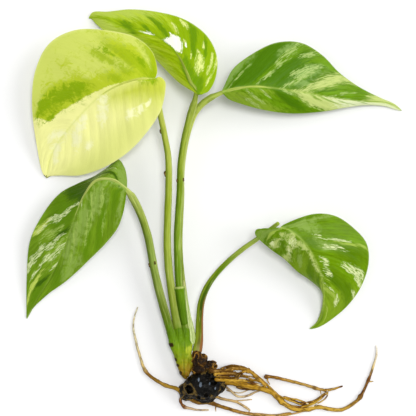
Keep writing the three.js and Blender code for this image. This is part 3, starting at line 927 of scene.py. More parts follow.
@dataclass(frozen=True)
class StalkFinish:
    """Smooth green skin with fine fibres lengthwise, with painted light and shade across it: a colour down
    the left side, mostly darker, and a paler highlight down the right side.
    """

    stops: Stops
    shade: Color = (70, 92, 12)
    pale: Color = (206, 216, 130)
    # The left colour is painted down the stalk's left side as shade, and as light on a stalk whose left side
    # is the lit one; without it the shade colour is painted. left_from and left_to bound it along the stalk.
    left: Color | None = None
    left_from: float = -0.2
    left_to: float = 1.1
    blush: Color | None = None
    blush_to: float = 0.2

    FIBRE = (1.6, 1.6, 0.07)
    PATCH = (0.35, 0.35, 0.12)

    def build(self, name: str) -> Material:
        """Makes the material, which reads a tube's "along", "side" and "flow"."""
        r = Recipe(name)
        flow, along = r.value("flow", "Vector"), r.value("along")
        fibre = r.grain(flow, self.FIBRE)
        patch = r.grain(flow, self.PATCH, rough=0.55)
        r.ramp(along, self.stops)
        r.wash(self.shade, fibre, 0.5, 0.36, 0.4)
        r.wash(self.pale, fibre, 0.55, 0.7, 0.4)
        r.wash(self.shade, patch, 0.42, 0.28, 0.35)
        # Painted light and shade across the stalk: the left colour down the left side, and a pale highlight
        # down the right side, as the light falls from the right.
        side = r.torn(r.value("side"), patch, 0.8)
        start = r.rise(along, self.left_from - 0.08, self.left_from + 0.08)
        reach = r.math("MULTIPLY", start, r.rise(along, self.left_to, self.left_to * 0.7))
        r.lay(r.math("MULTIPLY", r.rise(side, 0.0, -0.6, 0.0, 0.75), reach), linear(self.left or self.shade))
        r.wash(self.pale, side, 0.5, 0.95, 0.3)
        if self.blush:
            low_down = r.rise(along, self.blush_to, self.blush_to * 0.6)
            r.lay(r.math("MULTIPLY", r.rise(side, 0.35, 0.7), low_down), linear(self.blush))
        r.bump(fibre, 0.16, 0.7)
        return r.dress(0.34, specular=0.06)


@dataclass(frozen=True)
class RootFinish:
    """Wrinkled root skin with darker rings and stains, and edges darkened as painted shade."""

    stops: Stops
    # The stain colour is laid as real stains, and also as painted shade along the root's sides.
    stain: Color = (72, 40, 6)
    pale: Color = (212, 168, 84)
    stained: float = 0.6
    edge_shade: float = 0.6
    roughness: float = 0.55

    GRAIN = (1.3, 1.3, 0.3)
    STAIN = (0.5, 0.5, 0.2)
    WRINKLE = (0.9, 0.9, 1.5)

    def build(self, name: str) -> Material:
        """Makes the material, which reads a tube's "along", "side" and "flow"."""
        r = Recipe(name)
        flow = r.value("flow", "Vector")
        grain = r.grain(flow, self.GRAIN, 4.0, 0.65)
        stain = r.grain(flow, self.STAIN)
        wrinkle = r.grain(flow, self.WRINKLE)
        r.ramp(r.value("along"), self.stops)
        r.wash(self.pale, grain, 0.52, 0.68, 0.65)
        r.wash(self.stain, grain, 0.47, 0.34, 0.75)
        r.wash(self.stain, stain, 0.5, 0.62, self.stained)
        # Painted shade: the stain colour darkens both sides of the root, where its round skin turns away from
        # the light.
        edge = r.torn(r.math("ABSOLUTE", r.value("side")), grain, 0.8)
        r.wash(self.stain, edge, 0.6, 1.0, self.edge_shade)
        r.bump(r.blend(grain, wrinkle, 0.5), 0.45, 0.9)
        return r.dress(self.roughness, specular=0.08)


@dataclass(frozen=True)
class LumpFinish:
    """Knobbly skin whose hollows and ridges differ in colour, with small spots of painted reflection where it
    is wet.
    """

    hollow: Color
    body: Color
    ridge: Color
    painted_glint: Color
    roughness: float
    coat: float
    mottle: float = 1.2
    grain: float = 700.0

    def build(self, name: str) -> Material:
        """Makes the material, which reads a lump's "ridge" and the spots of its painted glints."""
        r = Recipe(name)
        place = r.place()
        coarse = r.noise(place, self.grain * 0.4, 4.0, 0.6)
        fine = r.noise(place, self.grain * 1.7, 4.0, 0.65)
        r.color = r.mix(r.rise(coarse, 0.4, 0.6), linear(self.hollow), linear(self.body))
        r.wash(self.ridge, r.torn(r.value("ridge"), r.blend(fine, coarse, 0.5), 2 * self.mottle), 0.45, 0.85)
        # Painted reflection: small blue-grey glints where the soil is wet and shiny.
        r.wash(self.painted_glint, r.torn(r.value("painted_glint"), fine, 0.9), 0.4, 0.7)
        r.bump(r.blend(fine, coarse, 0.6), 0.7, 0.9)
        rough = r.rise(coarse, 0.35, 0.6, self.roughness, self.roughness + 0.3)
        return r.dress(rough, 0.1, self.coat, 0.12)


@dataclass(frozen=True)
class StemFinish:
    """Green stem skin that turns yellow and then brown towards the soil, with scars and pale buds."""

    stops: Stops
    shade: Color = (58, 88, 4)
    pale: Color = (156, 178, 60)
    scar: Color = (50, 36, 10)
    bud: Color = (178, 188, 52)

    FIBRE = (1.1, 1.1, 0.1)
    PATCH = (0.4, 0.4, 0.2)

    def build(self, name: str) -> Material:
        """Makes the material, which reads the stem's "along", "flow", "scar" and "bud"."""
        r = Recipe(name)
        flow = r.value("flow", "Vector")
        fibre = r.grain(flow, self.FIBRE)
        patch = r.grain(flow, self.PATCH, rough=0.55)
        r.ramp(r.torn(r.value("along"), patch, 0.3), self.stops)
        r.wash(self.bud, r.torn(r.value("bud"), fibre, 0.8), 0.35, 0.75, 0.75)
        r.wash(self.shade, fibre, 0.48, 0.34, 0.5)
        r.wash(self.pale, fibre, 0.56, 0.72, 0.3)
        r.wash(self.scar, r.torn(r.value("scar"), patch, 1.2), 0.4, 0.7)
        r.bump(fibre, 0.3, 0.7)
        return r.dress(0.36, specular=0.06)


@dataclass(frozen=True)
class PaperFinish:
    """Dry papery skin, thin and pale, with fine veins."""

    body: Color
    vein: Color
    edge: Color

    FIBRE = (2.2, 2.2, 0.08)
    PATCH = (0.5, 0.5, 0.3)

    def build(self, name: str) -> Material:
        """Makes the material, which reads a tube's "along" and "flow"."""
        r = Recipe(name)
        flow = r.value("flow", "Vector")
        fibre = r.grain(flow, self.FIBRE)
        patch = r.grain(flow, self.PATCH)
        r.color = r.mix(r.rise(fibre, 0.4, 0.62), linear(self.vein), linear(self.body))
        r.wash(self.edge, r.torn(r.value("along"), patch, 0.3), 0.78, 0.98)
        r.bump(fibre, 0.2, 0.7)
        return r.dress(0.5, specular=0.25)


@dataclass(frozen=True)
class FloorFinish:
    """Matt white surface, lit a little from below as a light table is."""

    color: float = 0.8
    glow: float = 0.07

    def build(self, name: str) -> Material:
        """Makes the material."""
        r = Recipe(name)
        grain = r.noise(r.place(), 40.0, 2.0, 0.5)
        r.color = r.mix(grain, (self.color,) * 3 + (1,), (self.color - 0.01,) * 3 + (1,))
        r.shader.inputs["Emission Color"].default_value = (1, 1, 1, 1)
        r.shader.inputs["Emission Strength"].default_value = self.glow
        return r.dress(0.9, specular=0.1)


# ---------------------------------------------------------------- blades


@dataclass(frozen=True)
class Blade:
    """A heart-shaped blade with a sunken midrib, shallow side veins and a gently waved margin."""

    name: str
    slot: str
    finish: LeafFinish
    sweep: tuple[float, float] = (0.25, 0.25)
    seed: float = 1.0
    rib_depth: float = 0.5
    rib_half_width: float = 0.55
    vein_step: float = 0.066
    vein_depth: float = 0.16
    pucker: float = 0.3
    wave: float = 0.45
    full_width: float = 9.0
    bend: float = 0.014

    BEND_BUMPS = (9.0, 3.4, 1.0)
    SWELL_BUMPS = (13.0, 2.2, 1.0)
    SLOW_BUMPS = (4.5, 1.6, 1.0)
    VEIN_WIDTH = 0.2
    GROOVE_WIDTH = 1.1

    def build(self) -> None:
        """Builds the blade and ties it to the frame."""
        piece, share = new_sheet(self.name, BLADE_ROWS, BLADE_COLUMNS)
        along, across = share[:, 0], share[:, 1] * 2 - 1
        place, from_rib, width = self._surface(along, across)
        place[:, 2] += self._relief(along, across, from_rib, width)
        move_to(piece, place * MM)
        self._face_up(piece)
        vein = fan_share(along, across, self.sweep)
        set_uv(piece, "fan", np.stack([vein, across], axis=-1))
        spread = np.stack([along, across, np.zeros_like(along)], axis=-1) * self.BEND_BUMPS
        bent_along = along + self.bend * wander(spread, 1.0, self.seed + 9)
        bent_across = across + 3 * self.bend * wander(spread, 1.0, self.seed + 11)
        for tint in self.finish.tints:
            store(piece, tint.name, tint.mask(bent_along, bent_across, self.sweep))
        rib_width = self.rib_half_width * (1 + 0.8 * np.exp(-along / 0.12))
        rib_strength = 1 + 0.7 * np.exp(-along / 0.15) - 0.4 * along
        store(piece, "rib", np.exp(-((from_rib / rib_width) ** 2)) * rib_strength)
        store(piece, "margin", smooth_step(np.abs(across), 0.96, 1.0))
        upper = len(piece.data.vertices)
        apply_modifier(piece, "SOLIDIFY", thickness=BLADE_THICKNESS * MM, offset=0.0)
        store(piece, "under", np.arange(len(piece.data.vertices)) >= upper)
        smooth_faces(piece, 60.0)
        finish_piece(piece, self.name, self.finish.build(self.name))

    def _surface(self, along: Array, across: Array) -> tuple[Array, Array, Array]:
        """Returns each place on the smooth blade, its distance from the midrib, and the half-width there."""
        outline = LEAVES[self.name]
        rib, left, right = outline.paths()
        out = np.abs(across)
        foot = rib.at(along**SIDE_VEIN_SWEEP)
        span = MARGIN_START + (MARGIN_END - MARGIN_START) * along
        margin = np.where((across < 0)[:, None], left.at(span), right.at(span))
        place = foot + (margin - foot) * out[:, None]
        place[:, 2] += outline.crown * 2 * out * (1 - out) * np.maximum(np.sin(math.pi * along), 0.0) ** 0.7
        width = np.linalg.norm(margin - foot, axis=1)
        return place, width * out, width

    def _relief(self, along: Array, across: Array, from_rib: Array, width: Array) -> Array:
        """Returns how far veins, puckers and waves move each place up, in millimetres."""
        out = np.abs(across)
        vein = fan_share(along, across, self.sweep)
        side = np.where(across < 0, 3.0, 9.0)
        jitter = 0.25 * wander(np.stack([vein * 9, side, side * 0], axis=-1), 1.0, self.seed)
        phase = vein / self.vein_step + jitter
        valley = np.exp(-(((phase - np.round(phase)) / self.VEIN_WIDTH) ** 2))
        valley = valley * np.clip(out * 8, 0, 1) * (1 - out**4)
        swells = wander(np.stack([vein, across, side * 0], axis=-1) * self.SWELL_BUMPS, 1.0, self.seed + 3)
        slow = wander(np.stack([along, across, side * 0], axis=-1) * self.SLOW_BUMPS, 1.0, self.seed + 5)
        edge = wander(np.stack([along * 7, side, side * 0], axis=-1), 1.0, self.seed + 7)
        groove = -self.rib_depth * np.exp(-((from_rib / self.GROOVE_WIDTH) ** 2)) * (1 - 0.6 * along)
        calm = np.clip(out * 5, 0, 1) * np.clip(along * 9, 0, 1) * np.clip((1 - along) * 9, 0, 1)
        shape = self.pucker * (swells + 1.4 * slow) * calm + self.wave * edge * out**3 * calm
        return (groove - self.vein_depth * valley + shape) * np.clip(width / self.full_width, 0, 1)

    @staticmethod
    def _face_up(piece: Piece) -> None:
        """Turns the blade's faces so that its upper side points up."""
        if sum(face.normal.z * face.area for face in piece.data.polygons) > 0:
            return
        edit_all(piece, bpy.ops.mesh.flip_normals)


# ---------------------------------------------------------------- petioles


@dataclass(frozen=True)
class Scrap:
    """A dried dark scrap of an old sheath that clings to a petiole."""

    along: float
    turn: float
    length: float
    thickness: float


@dataclass(frozen=True)
class Petiole:
    """A leaf stalk, channelled above, with a slightly swollen knee below its blade."""

    name: str
    slot: str
    finish: StalkFinish
    scraps: tuple[Scrap, ...] = ()
    channel: float = 0.16
    knee: float = 0.1
    stalk_share: float = 0.965
    rib_share: float = 0.8
    rib_tip: float = 0.22
    stands_apart: bool = False
    flare: float = 0.12
    knee_share: float = 0.03
    flare_length: float = 9.0
    seed: float = 0.0
    steps: int = 300

    SCRAP_LINE = ((-0.5, -0.3), (0.0, 0.25), (0.5, 0.1))

    def build(self) -> None:
        """Builds the stalk and its scraps, and ties them to the frame."""
        route = PETIOLES[self.name]
        stalk = route.path()
        path, joint = (stalk, 1.0) if self.stands_apart else self._path_with_rib(stalk, route)
        share = np.linspace(0, 1, self.steps + 1)
        on_stalk = np.clip(share / joint, 0, 1)
        radius = route.base_radius + (route.tip_radius - route.base_radius) * on_stalk**route.taper
        radius = radius * (1 + self.knee * np.exp(-(((share - joint * 0.96) / self.knee_share) ** 2)))
        radius = radius * (1 + self.flare * np.exp(-((share * path.length / self.flare_length) ** 2)))
        past = np.clip((share - joint) / max(1 - joint, 1e-6), 0, 1)
        radius = radius + (self.rib_tip - radius) * past**0.4
        shape = TubeShape(cap_share=0.008, channel=self.channel, lumps=0.05, lump_length=9, seed=self.seed)
        piece = tube(self.name, path, radius, shape, sides=26)
        restart(piece, joint)
        finish_piece(piece, self.name, self.finish.build(self.name))
        if self.scraps:
            self._add_scraps(stalk, route)

    def _path_with_rib(self, stalk: Path, route: StalkRoute) -> tuple[Path, float]:
        """Carries the stalk on below its blade, where it stands out as the midrib.

        Args:
            stalk: The stalk's own centre line.
            route: Its measures.

        Returns:
            The whole line, and the share of it at which the stalk meets the blade.
        """
        leaf = next(outline for outline in LEAVES.values() if outline.petiole == self.name)
        rib = leaf.paths()[0]
        shares = np.array([0.035, 0.09, 0.17, 0.28, 0.42, 0.58, self.rib_share])
        below = rib.at(shares)
        reach = (shares - shares[0]) / (shares[-1] - shares[0])
        rib_radius = route.tip_radius + (self.rib_tip - route.tip_radius) * reach**0.4
        below[:, 2] -= BLADE_THICKNESS / 2 + 0.55 * rib_radius
        below[:, 2] = np.maximum(below[:, 2], self.rib_tip)
        whole = Path(np.vstack([stalk.at(np.linspace(0, self.stalk_share, 36)), below]))
        return whole, stalk.length * self.stalk_share / whole.length

    def _add_scraps(self, path: Path, route: StalkRoute) -> None:
        """Builds the scraps as one piece, on the stalk's centre line."""
        flakes = []
        for number, scrap in enumerate(self.scraps):
            share, turn = np.array([scrap.along]), math.radians(scrap.turn)
            forward, across, above = (axis[0] for axis in path.axes(share))
            out = across * math.cos(turn) + above * math.sin(turn)
            size = route.base_radius + (route.tip_radius - route.base_radius) * scrap.along**route.taper
            middle = path.at(share)[0] + out * size * 1.02
            ahead, up = forward * scrap.length, out * scrap.thickness
            line = Path(np.array([middle + ahead * a + up * b for a, b in self.SCRAP_LINE]))
            shape = TubeShape(cap_share=0.4, lumps=0.5, lump_length=1.6, seed=self.seed + 11 + number)
            flakes.append(tube(f"{self.name}_scrap", line, np.full(19, scrap.thickness), shape, sides=12))
        piece = join(f"{self.name}_scraps", flakes)
        finish_piece(piece, self.name, SCRAP_SKIN.build(piece.name))


@dataclass(frozen=True)
class Sheath:
    """The old leaf base that wraps the foot of the top petiole, with a rolled upper lip."""

    name: str = "sheath"
    slot: str = "sheath_skin"
    petiole: str = "top_petiole"
    wall: float = 0.75
    start: float = 0.03
    end: float = 0.195
    lip_height: float = 1.2
    lip_stand: float = 0.35
    narrowing: float = 0.2
    steps: int = 90

    def build(self) -> None:
        """Builds the sheath and ties it to the frame."""
        route = PETIOLES[self.petiole]
        whole = route.path()
        path = Path(whole.at(np.linspace(self.start, self.end, 12)))
        share = np.linspace(0, 1, self.steps + 1)
        radius = tapered(route.base_radius, route.tip_radius, route.taper, 200)
        covered = self.start + share * (self.end - self.start)
        size = np.interp(covered, np.linspace(0, 1, len(radius)), radius) + self.wall
        size = size * (1 - self.narrowing * np.clip(1 - share / 0.7, 0, 1))
        lip = self.lip_height / path.length
        size = size + self.lip_stand * np.exp(-(((share - 1 + lip) / lip) ** 2))
        shape = TubeShape(cap_share=0.02, lumps=0.08, lump_length=7, seed=31)
        piece = tube(self.name, path, size, shape, sides=32)
        finish_piece(piece, self.name, SHEATH_SKIN.build(self.name))


@dataclass(frozen=True)
class SheathEdge:
    """The pale papery edge of the old leaf base, a thin ribbon that curls over the crown."""

    name: str = "sheath_edge"
    slot: str = "pale_skin"
    radius: float = 2.2
    tip_radius: float = 0.4
    flatness: float = 0.5
    route: tuple[Point, ...] = (
        (-6.2, 21.5, 8), (-7.5, 30, 8.2), (-9.4, 39.5, 8.6), (-10.6, 48, 9), (-11.6, 57, 9.4),
    )

    def build(self) -> None:
        """Builds the ribbon and ties it to the frame."""
        radius = tapered(self.radius, self.tip_radius, 1, 100)
        shape = TubeShape(0.08, flatness=self.flatness, channel=0.5, lumps=0.12, lump_length=5, seed=41)
        piece = tube(self.name, Path(np.array(self.route)), radius, shape, sides=24)
        finish_piece(piece, self.name, PAPER_SKIN.build(self.name))


# ---------------------------------------------------------------- stem, crown and soil


@dataclass(frozen=True)
class Foot:
    """A petiole's clasping foot, which runs from inside the petiole down into the stem's lower end."""

    petiole: str
    reach: float
    swell: float


@dataclass(frozen=True)
class StemBase:
    """The short stem: a flattened wedge with the petioles' clasping feet round it, rings and scars."""

    name: str = "stem_base"
    slot: str = "stem_skin"
    wide_radius: float = 5.6
    narrow_radius: float = 2.0
    taper: float = 1.2
    flatness: float = 0.5
    route: tuple[Point, ...] = (
        (-12.4, 26.5, 8), (-12.2, 21, 8), (-11.8, 14, 8), (-11.2, 8, 7.6), (-10.6, 2.4, 7),
    )
    end: Point = (-10.9, 4.5, 7.4)
    feet: tuple[Foot, ...] = (
        Foot("left_petiole", 0.2, 1.26), Foot("cream_petiole", 0.02, 1.1), Foot("top_petiole", 0.04, 1.3),
        Foot("right_petiole", 0.05, 1.3), Foot("lower_petiole", 0.01, 0.7),
    )
    end_radius: float = 2.2
    ring_rows: tuple[float, ...] = (12.6, 8.4)
    ring_height: float = 0.12
    scars: tuple[tuple[float, float, float], ...] = (
        (-18.6, 21.6, 1.5), (-16.0, 13.4, 1.2), (-15.0, 10.4, 1.1), (-13.2, 6.4, 0.9),
    )
    buds: tuple[tuple[float, float, float], ...] = ((-8.4, 18.6, 2.4), (-7.8, 15.4, 1.8), (-6.6, 21.4, 1.4))
    fineness: float = 0.22

    def build(self) -> None:
        """Builds the stem and ties it to the frame."""
        radius = tapered(self.wide_radius, self.narrow_radius, self.taper, 60)
        wedge = TubeShape(cap_share=0.25, flatness=self.flatness)
        parts = [tube(self.name, Path(np.array(self.route)), radius, wedge, sides=48)]
        parts += [self._foot(foot) for foot in self.feet]
        piece = join(self.name, parts)
        apply_modifier(piece, "REMESH", mode="VOXEL", voxel_size=self.fineness * MM)
        apply_modifier(piece, "SMOOTH", factor=0.5, iterations=8)
        place = places_of(piece) / MM
        normal = normals_of(piece)
        out = 0.16 * wander(place * np.array([1.3, 0.16, 1.3]), 1.0, 51) + 0.1 * wander(place, 0.8, 52)
        for row in self.ring_rows:
            bent = place[:, 1] - row + 0.06 * (place[:, 0] + 12) ** 2
            ring, groove = (np.exp(-(((bent + off) / 0.5) ** 2)) for off in (0.0, 1.0))
            out += self.ring_height * (ring - 0.7 * groove)
        scar = spots(place, self.scars)
        bud = spots(place, self.buds)
        move_to(piece, (place + normal * (out + 0.35 * scar + 0.5 * bud)[:, None]) * MM)
        store(piece, "along", np.clip((31 - place[:, 1]) / 28.6, 0, 1))
        store(piece, "flow", place[:, [0, 2, 1]])
        store(piece, "scar", scar)
        store(piece, "bud", bud)
        smooth_faces(piece, 60.0)
        finish_piece(piece, self.name, STEM_SKIN.build(self.name))

    def _foot(self, foot: Foot) -> Piece:
        """Adds a foot, which is fattest where its petiole leaves the stem."""
        route = PETIOLES[foot.petiole]
        base = np.array(route.base)
        end = np.array(self.end)
        upper = route.path().at(np.linspace(foot.reach, 0, 6))
        lower = [base + (end - base) * share for share in (0.35, 0.7, 1.0)]
        line = Path(np.vstack([upper, lower]))
        middle = foot.reach * route.length / line.length
        sizes = np.array([0.75, foot.swell, 0.85 * foot.swell]) * route.base_radius
        size = np.interp(np.linspace(0, 1, 61), (0, middle, 0.6, 1), (*sizes, self.end_radius))
        return tube(f"{foot.petiole}_foot", line, size, TubeShape(cap_share=0.05), sides=28)


@dataclass(frozen=True)
class Lump:
    """One swelling: its centre and its three half-widths, in millimetres."""

    centre: Point
    half: Point


@dataclass(frozen=True)
class Knob:
    """Swellings that have grown together, with ridges and hollows on them."""

    name: str
    slot: str
    finish: LumpFinish
    lumps: tuple[Lump, ...]
    fineness: float = 0.28
    ridge_size: float = 3.4
    ridge_height: float = 0.5
    ridge_core: float = 0.3
    rough_height: float = 0.45
    pits: tuple[tuple[float, float, float, float, float], ...] = ()
    # Spots of painted reflection: each glint's x, y and radius; the glints are stretched along y by the
    # height factor below.
    glint_spots: tuple[tuple[float, float, float], ...] = ()
    glint_height: float = 2.0
    crumbs: tuple[tuple[float, float, float], ...] = ()
    seed: float = 0.0

    def build(self) -> None:
        """Builds the knob and ties it to the frame."""
        balls = [self._ball(lump) for lump in self.lumps]
        piece = join(self.name, balls)
        apply_modifier(piece, "REMESH", mode="VOXEL", voxel_size=self.fineness * MM)
        apply_modifier(piece, "SMOOTH", factor=0.5, iterations=6)
        place = places_of(piece) / MM
        normal = normals_of(piece)
        ridge = self._ridges(place)
        coarse = wander(place, 0.24, self.seed)
        fine = wander(place, 0.8, self.seed + 1)
        out = self.ridge_height * (ridge - 0.5) + self.rough_height * (coarse + 0.3 * fine)
        place = place + normal * out[:, None]
        place, rim = self._press_pits(place, normal)
        rim = np.maximum(rim, spots(place, self.crumbs) * (0.75 + 0.5 * wander(place, 0.9, self.seed + 8)))
        place[:, 2] = np.maximum(place[:, 2], 0.0)
        move_to(piece, place * MM)
        store(piece, "ridge", np.maximum(ridge, rim))
        # Painted reflection: the glint spots, stretched along y, kept for the material.
        stretched = place * np.array([1, 1 / self.glint_height, 1])
        painted_glint = tuple((x, y / self.glint_height, radius) for x, y, radius in self.glint_spots)
        store(piece, "painted_glint", spots(stretched, painted_glint))
        smooth_faces(piece, 60.0)
        finish_piece(piece, self.name, self.finish.build(self.name))

    def _ball(self, lump: Lump) -> Piece:
        """Adds one swelling as a ball at its size and place, cut off at the surface below."""
        deselect()
        bpy.ops.mesh.primitive_uv_sphere_add(segments=48, ring_count=24, radius=1.0, location=(0, 0, 0))
        ball = bpy.context.object
        place = places_of(ball) * np.array(lump.half) + np.array(lump.centre)
        place[:, 2] = np.maximum(place[:, 2], 0.0)
        move_to(ball, place * MM)
        return ball

    def _ridges(self, place: Array) -> Array:
        """Returns 1 on the skin's winding ridges and 0 between them, most of them near the knob's outline."""
        wide = np.abs(wander(place, 1 / self.ridge_size, self.seed + 5))
        thin = np.abs(wander(place, 2.1 / self.ridge_size, self.seed + 6))
        ridge = np.maximum(1 - smooth_step(wide, 0.02, 0.16), 0.7 * (1 - smooth_step(thin, 0.02, 0.13)))
        low, high = place.min(axis=0), place.max(axis=0)
        middle, half = (low + high) / 2, (high - low) / 2
        off = np.hypot(*((place - middle) / half)[:, :2].T)
        return ridge * (self.ridge_core + (1 - self.ridge_core) * smooth_step(off, 0.55, 0.95))

    def _press_pits(self, place: Array, normal: Array) -> tuple[Array, Array]:
        """Presses the round pits in, and returns the new places and how near each is to a pit's rim."""
        rim = np.zeros(len(place))
        for x, y, radius, depth, show in self.pits:
            off = np.hypot(place[:, 0] - x, place[:, 1] - y) / radius
            off = off * (1 + 0.3 * wander(place, 0.45, self.seed + x))
            facing = np.clip(normal[:, 2] * 2, 0, 1)
            place[:, 2] -= depth * np.exp(-((off / 0.8) ** 4)) * facing
            edge = np.exp(-(((off - 1.12) / 0.2) ** 2)) * facing
            place[:, 2] += 0.5 * edge
            rim = np.maximum(rim, edge * show)
        return place, rim


# ---------------------------------------------------------------- roots


@dataclass(frozen=True)
class Strand:
    """A thin extra strand, with its own route on the surface."""

    radius: float
    tip_radius: float
    route: tuple[Point, ...]
    tone: float | None = None


@dataclass(frozen=True)
class Root:
    """A root with a wrinkled skin, knots and short side hairs."""

    name: str
    slot: str
    finish: RootFinish
    strands: tuple[Strand, ...] = ()
    spurs: tuple[tuple[float, float, float], ...] = ()
    knots: tuple[tuple[float, float], ...] = ()
    waver: float = 0.35
    lumps: float = 0.2
    slimness: float = 1.0
    seed: float = 0.0
    steps: int = 260

    def build(self) -> None:
        """Builds the root with its branches, and ties it to the frame."""
        route = ROOTS[self.name]
        path = Path(np.array(route.route))
        share = np.linspace(0, 1, self.steps + 1)
        radius = tapered(route.base_radius, route.tip_radius, route.taper, self.steps) * self.slimness
        for at, size in self.knots:
            radius = radius + size * np.exp(-(((share - at) * path.length / 1.3) ** 2))
        shape = TubeShape(cap_share=0.02, lumps=self.lumps, lump_length=3.2, waver=self.waver, seed=self.seed)
        parts = [tube(self.name, path, radius, shape, sides=18)]
        for number, strand in enumerate(self.strands):
            line = Path(np.array(strand.route))
            size = tapered(strand.radius, strand.tip_radius, 1, max(24, int(line.length * 2.5)))
            thin = TubeShape(0.05, lumps=0.22, lump_length=2.4, waver=0.25, seed=self.seed + 20 + number)
            parts.append(tube(f"{self.name}_strand", line, size, thin, sides=12))
            if strand.tone is not None:
                hold_tone(parts[-1], strand.tone)
        parts += [self._spur(path, radius, number) for number in range(len(self.spurs))]
        finish_piece(join(self.name, parts), self.name, self.finish.build(self.name))

    def _spur(self, path: Path, radius: Array, number: int) -> Piece:
        """Adds a short pointed side hair."""
        at, length, side = self.spurs[number]
        share = np.array([at])
        forward, across = (axis[0] for axis in path.axes(share)[:2])
        across = across * side
        size = float(np.interp(at, np.linspace(0, 1, len(radius)), radius))
        start = path.at(share)[0]
        points = [start, start + across * (size + length * 0.4) + forward * length * 0.15]
        points.append(start + across * (size + length) + forward * length * 0.5)
        line = Path(np.array([[p[0], p[1], max(p[2], size * 0.5)] for p in points]))
        shape = TubeShape(cap_share=0.1, lumps=0.2, lump_length=2, seed=self.seed + 40 + number)
        return tube(f"{self.name}_spur", line, tapered(size * 0.55, 0.15, 1, 20), shape, sides=10)


# ---------------------------------------------------------------- the five blades' marbling, painted sheen, highlights and shade

CREAM_TINTS = (
    # Painted shade: the outer part of the cream half is darker where it tilts away from the light.
    Tint("painted_outer_shade", (230, 234, 136), feather=0.14, ragged=0.12, soft=0.4,
        areas=(((20, 52), (50, 50), (86, 66), (90, 110), (20, 110)),)),
    Tint("base_glow", (196, 206, 68), feather=0.14, ragged=0.14, soft=0.4,
        areas=(((-5, 0), (40, 2), (40, 16), (26, 50), (16, 110), (-5, 110)),)),
    # Painted highlights: pale gloss streaks along the ribs of the cream half.
    Tint("painted_rib_highlight", (255, 255, 206), soft=0.4, ragged=0.9, cover=0.75, fullness=0.8, grain=Grain.BLOTCHY,
        strokes=((47, 20, 3, 16), (42, 10, 3, 8), (68, 22, 4, 20), (60, 14, 3, 10), (36, 56, 3, 6),
            (30, 62, 3, 6), (66, 50, 3, 6), (84, 10, 4, 24), (24, 68, 3, 5), (76, -14, 3, 20))),
    Tint("tip_point", (104, 108, 52), feather=0.006, ragged=0.2,
        areas=(((98.8, -110), (105, -110), (105, 110), (98.8, 110)),)),
    Tint("green_field", (186, 204, 42), feather=0.014, ragged=0.3, soft=0.14,
        areas=(((-5, -120), (79, -120), (76.5, -80), (73, -40), (62, -20), (42, -7), (20, -2), (12, 10),
            (10, 45), (-5, 50)),)),
    Tint("pale_field", (214, 224, 112), ragged=1.0, soft=0.35, cover=0.8, grain=Grain.BLOTCHY,
        strokes=((10, -60, 3, 20), (70, -90, 5, 12), (56, -60, 3, 10), (42, -85, 12, 30), (60, -95, 10, 16),
            (40, -45, 8, 20), (26, -35, 4, 12), (20, -95, 6, 16))),
    Tint("lime_base", (146, 174, 2), ragged=0.8, soft=0.35, cover=0.95, feather=0.08,
        areas=(((-5, -90), (8, -80), (12, -20), (13, 20), (8, 50), (-5, 60)),)),
    Tint("olive", (158, 184, 14), ragged=1.2, soft=0.4, cover=0.85, grain=Grain.BLOTCHY,
        strokes=((17, -45, 6, 26), (24, -60, 4, 16), (33, -50, 3, 16), (30, -14, 3, 10), (10, -85, 5, 20),
            (50, -22, 5, 10), (66, -50, 6, 26), (22, -20, 3, 12))),
    Tint("mottles", (136, 170, 2), ragged=1.3, soft=0.3, cover=0.9, grain=Grain.BLOTCHY,
        strokes=((60, -38, 4, 16), (68, -62, 3.5, 16), (52, -27, 4, 8), (73, -75, 2, 12), (30, -60, 2.5, 8),
            (15, -50, 2, 12), (9, 36, 2, 10), (72, -45, 2, 10))))
CREAM_BLADE = Blade(name="cream_leaf", slot="cream_blade", seed=2.0, pucker=0.5, rib_depth=0.6,
    finish=LeafFinish(base=(252, 252, 164), rib=(214, 224, 112), back=(226, 230, 158),
        margin=(236, 238, 170), depth=0.95, lift=1.02, veil=0.05, gain=0.93, rib_show=0.5, shift=3.1,
        tints=CREAM_TINTS))

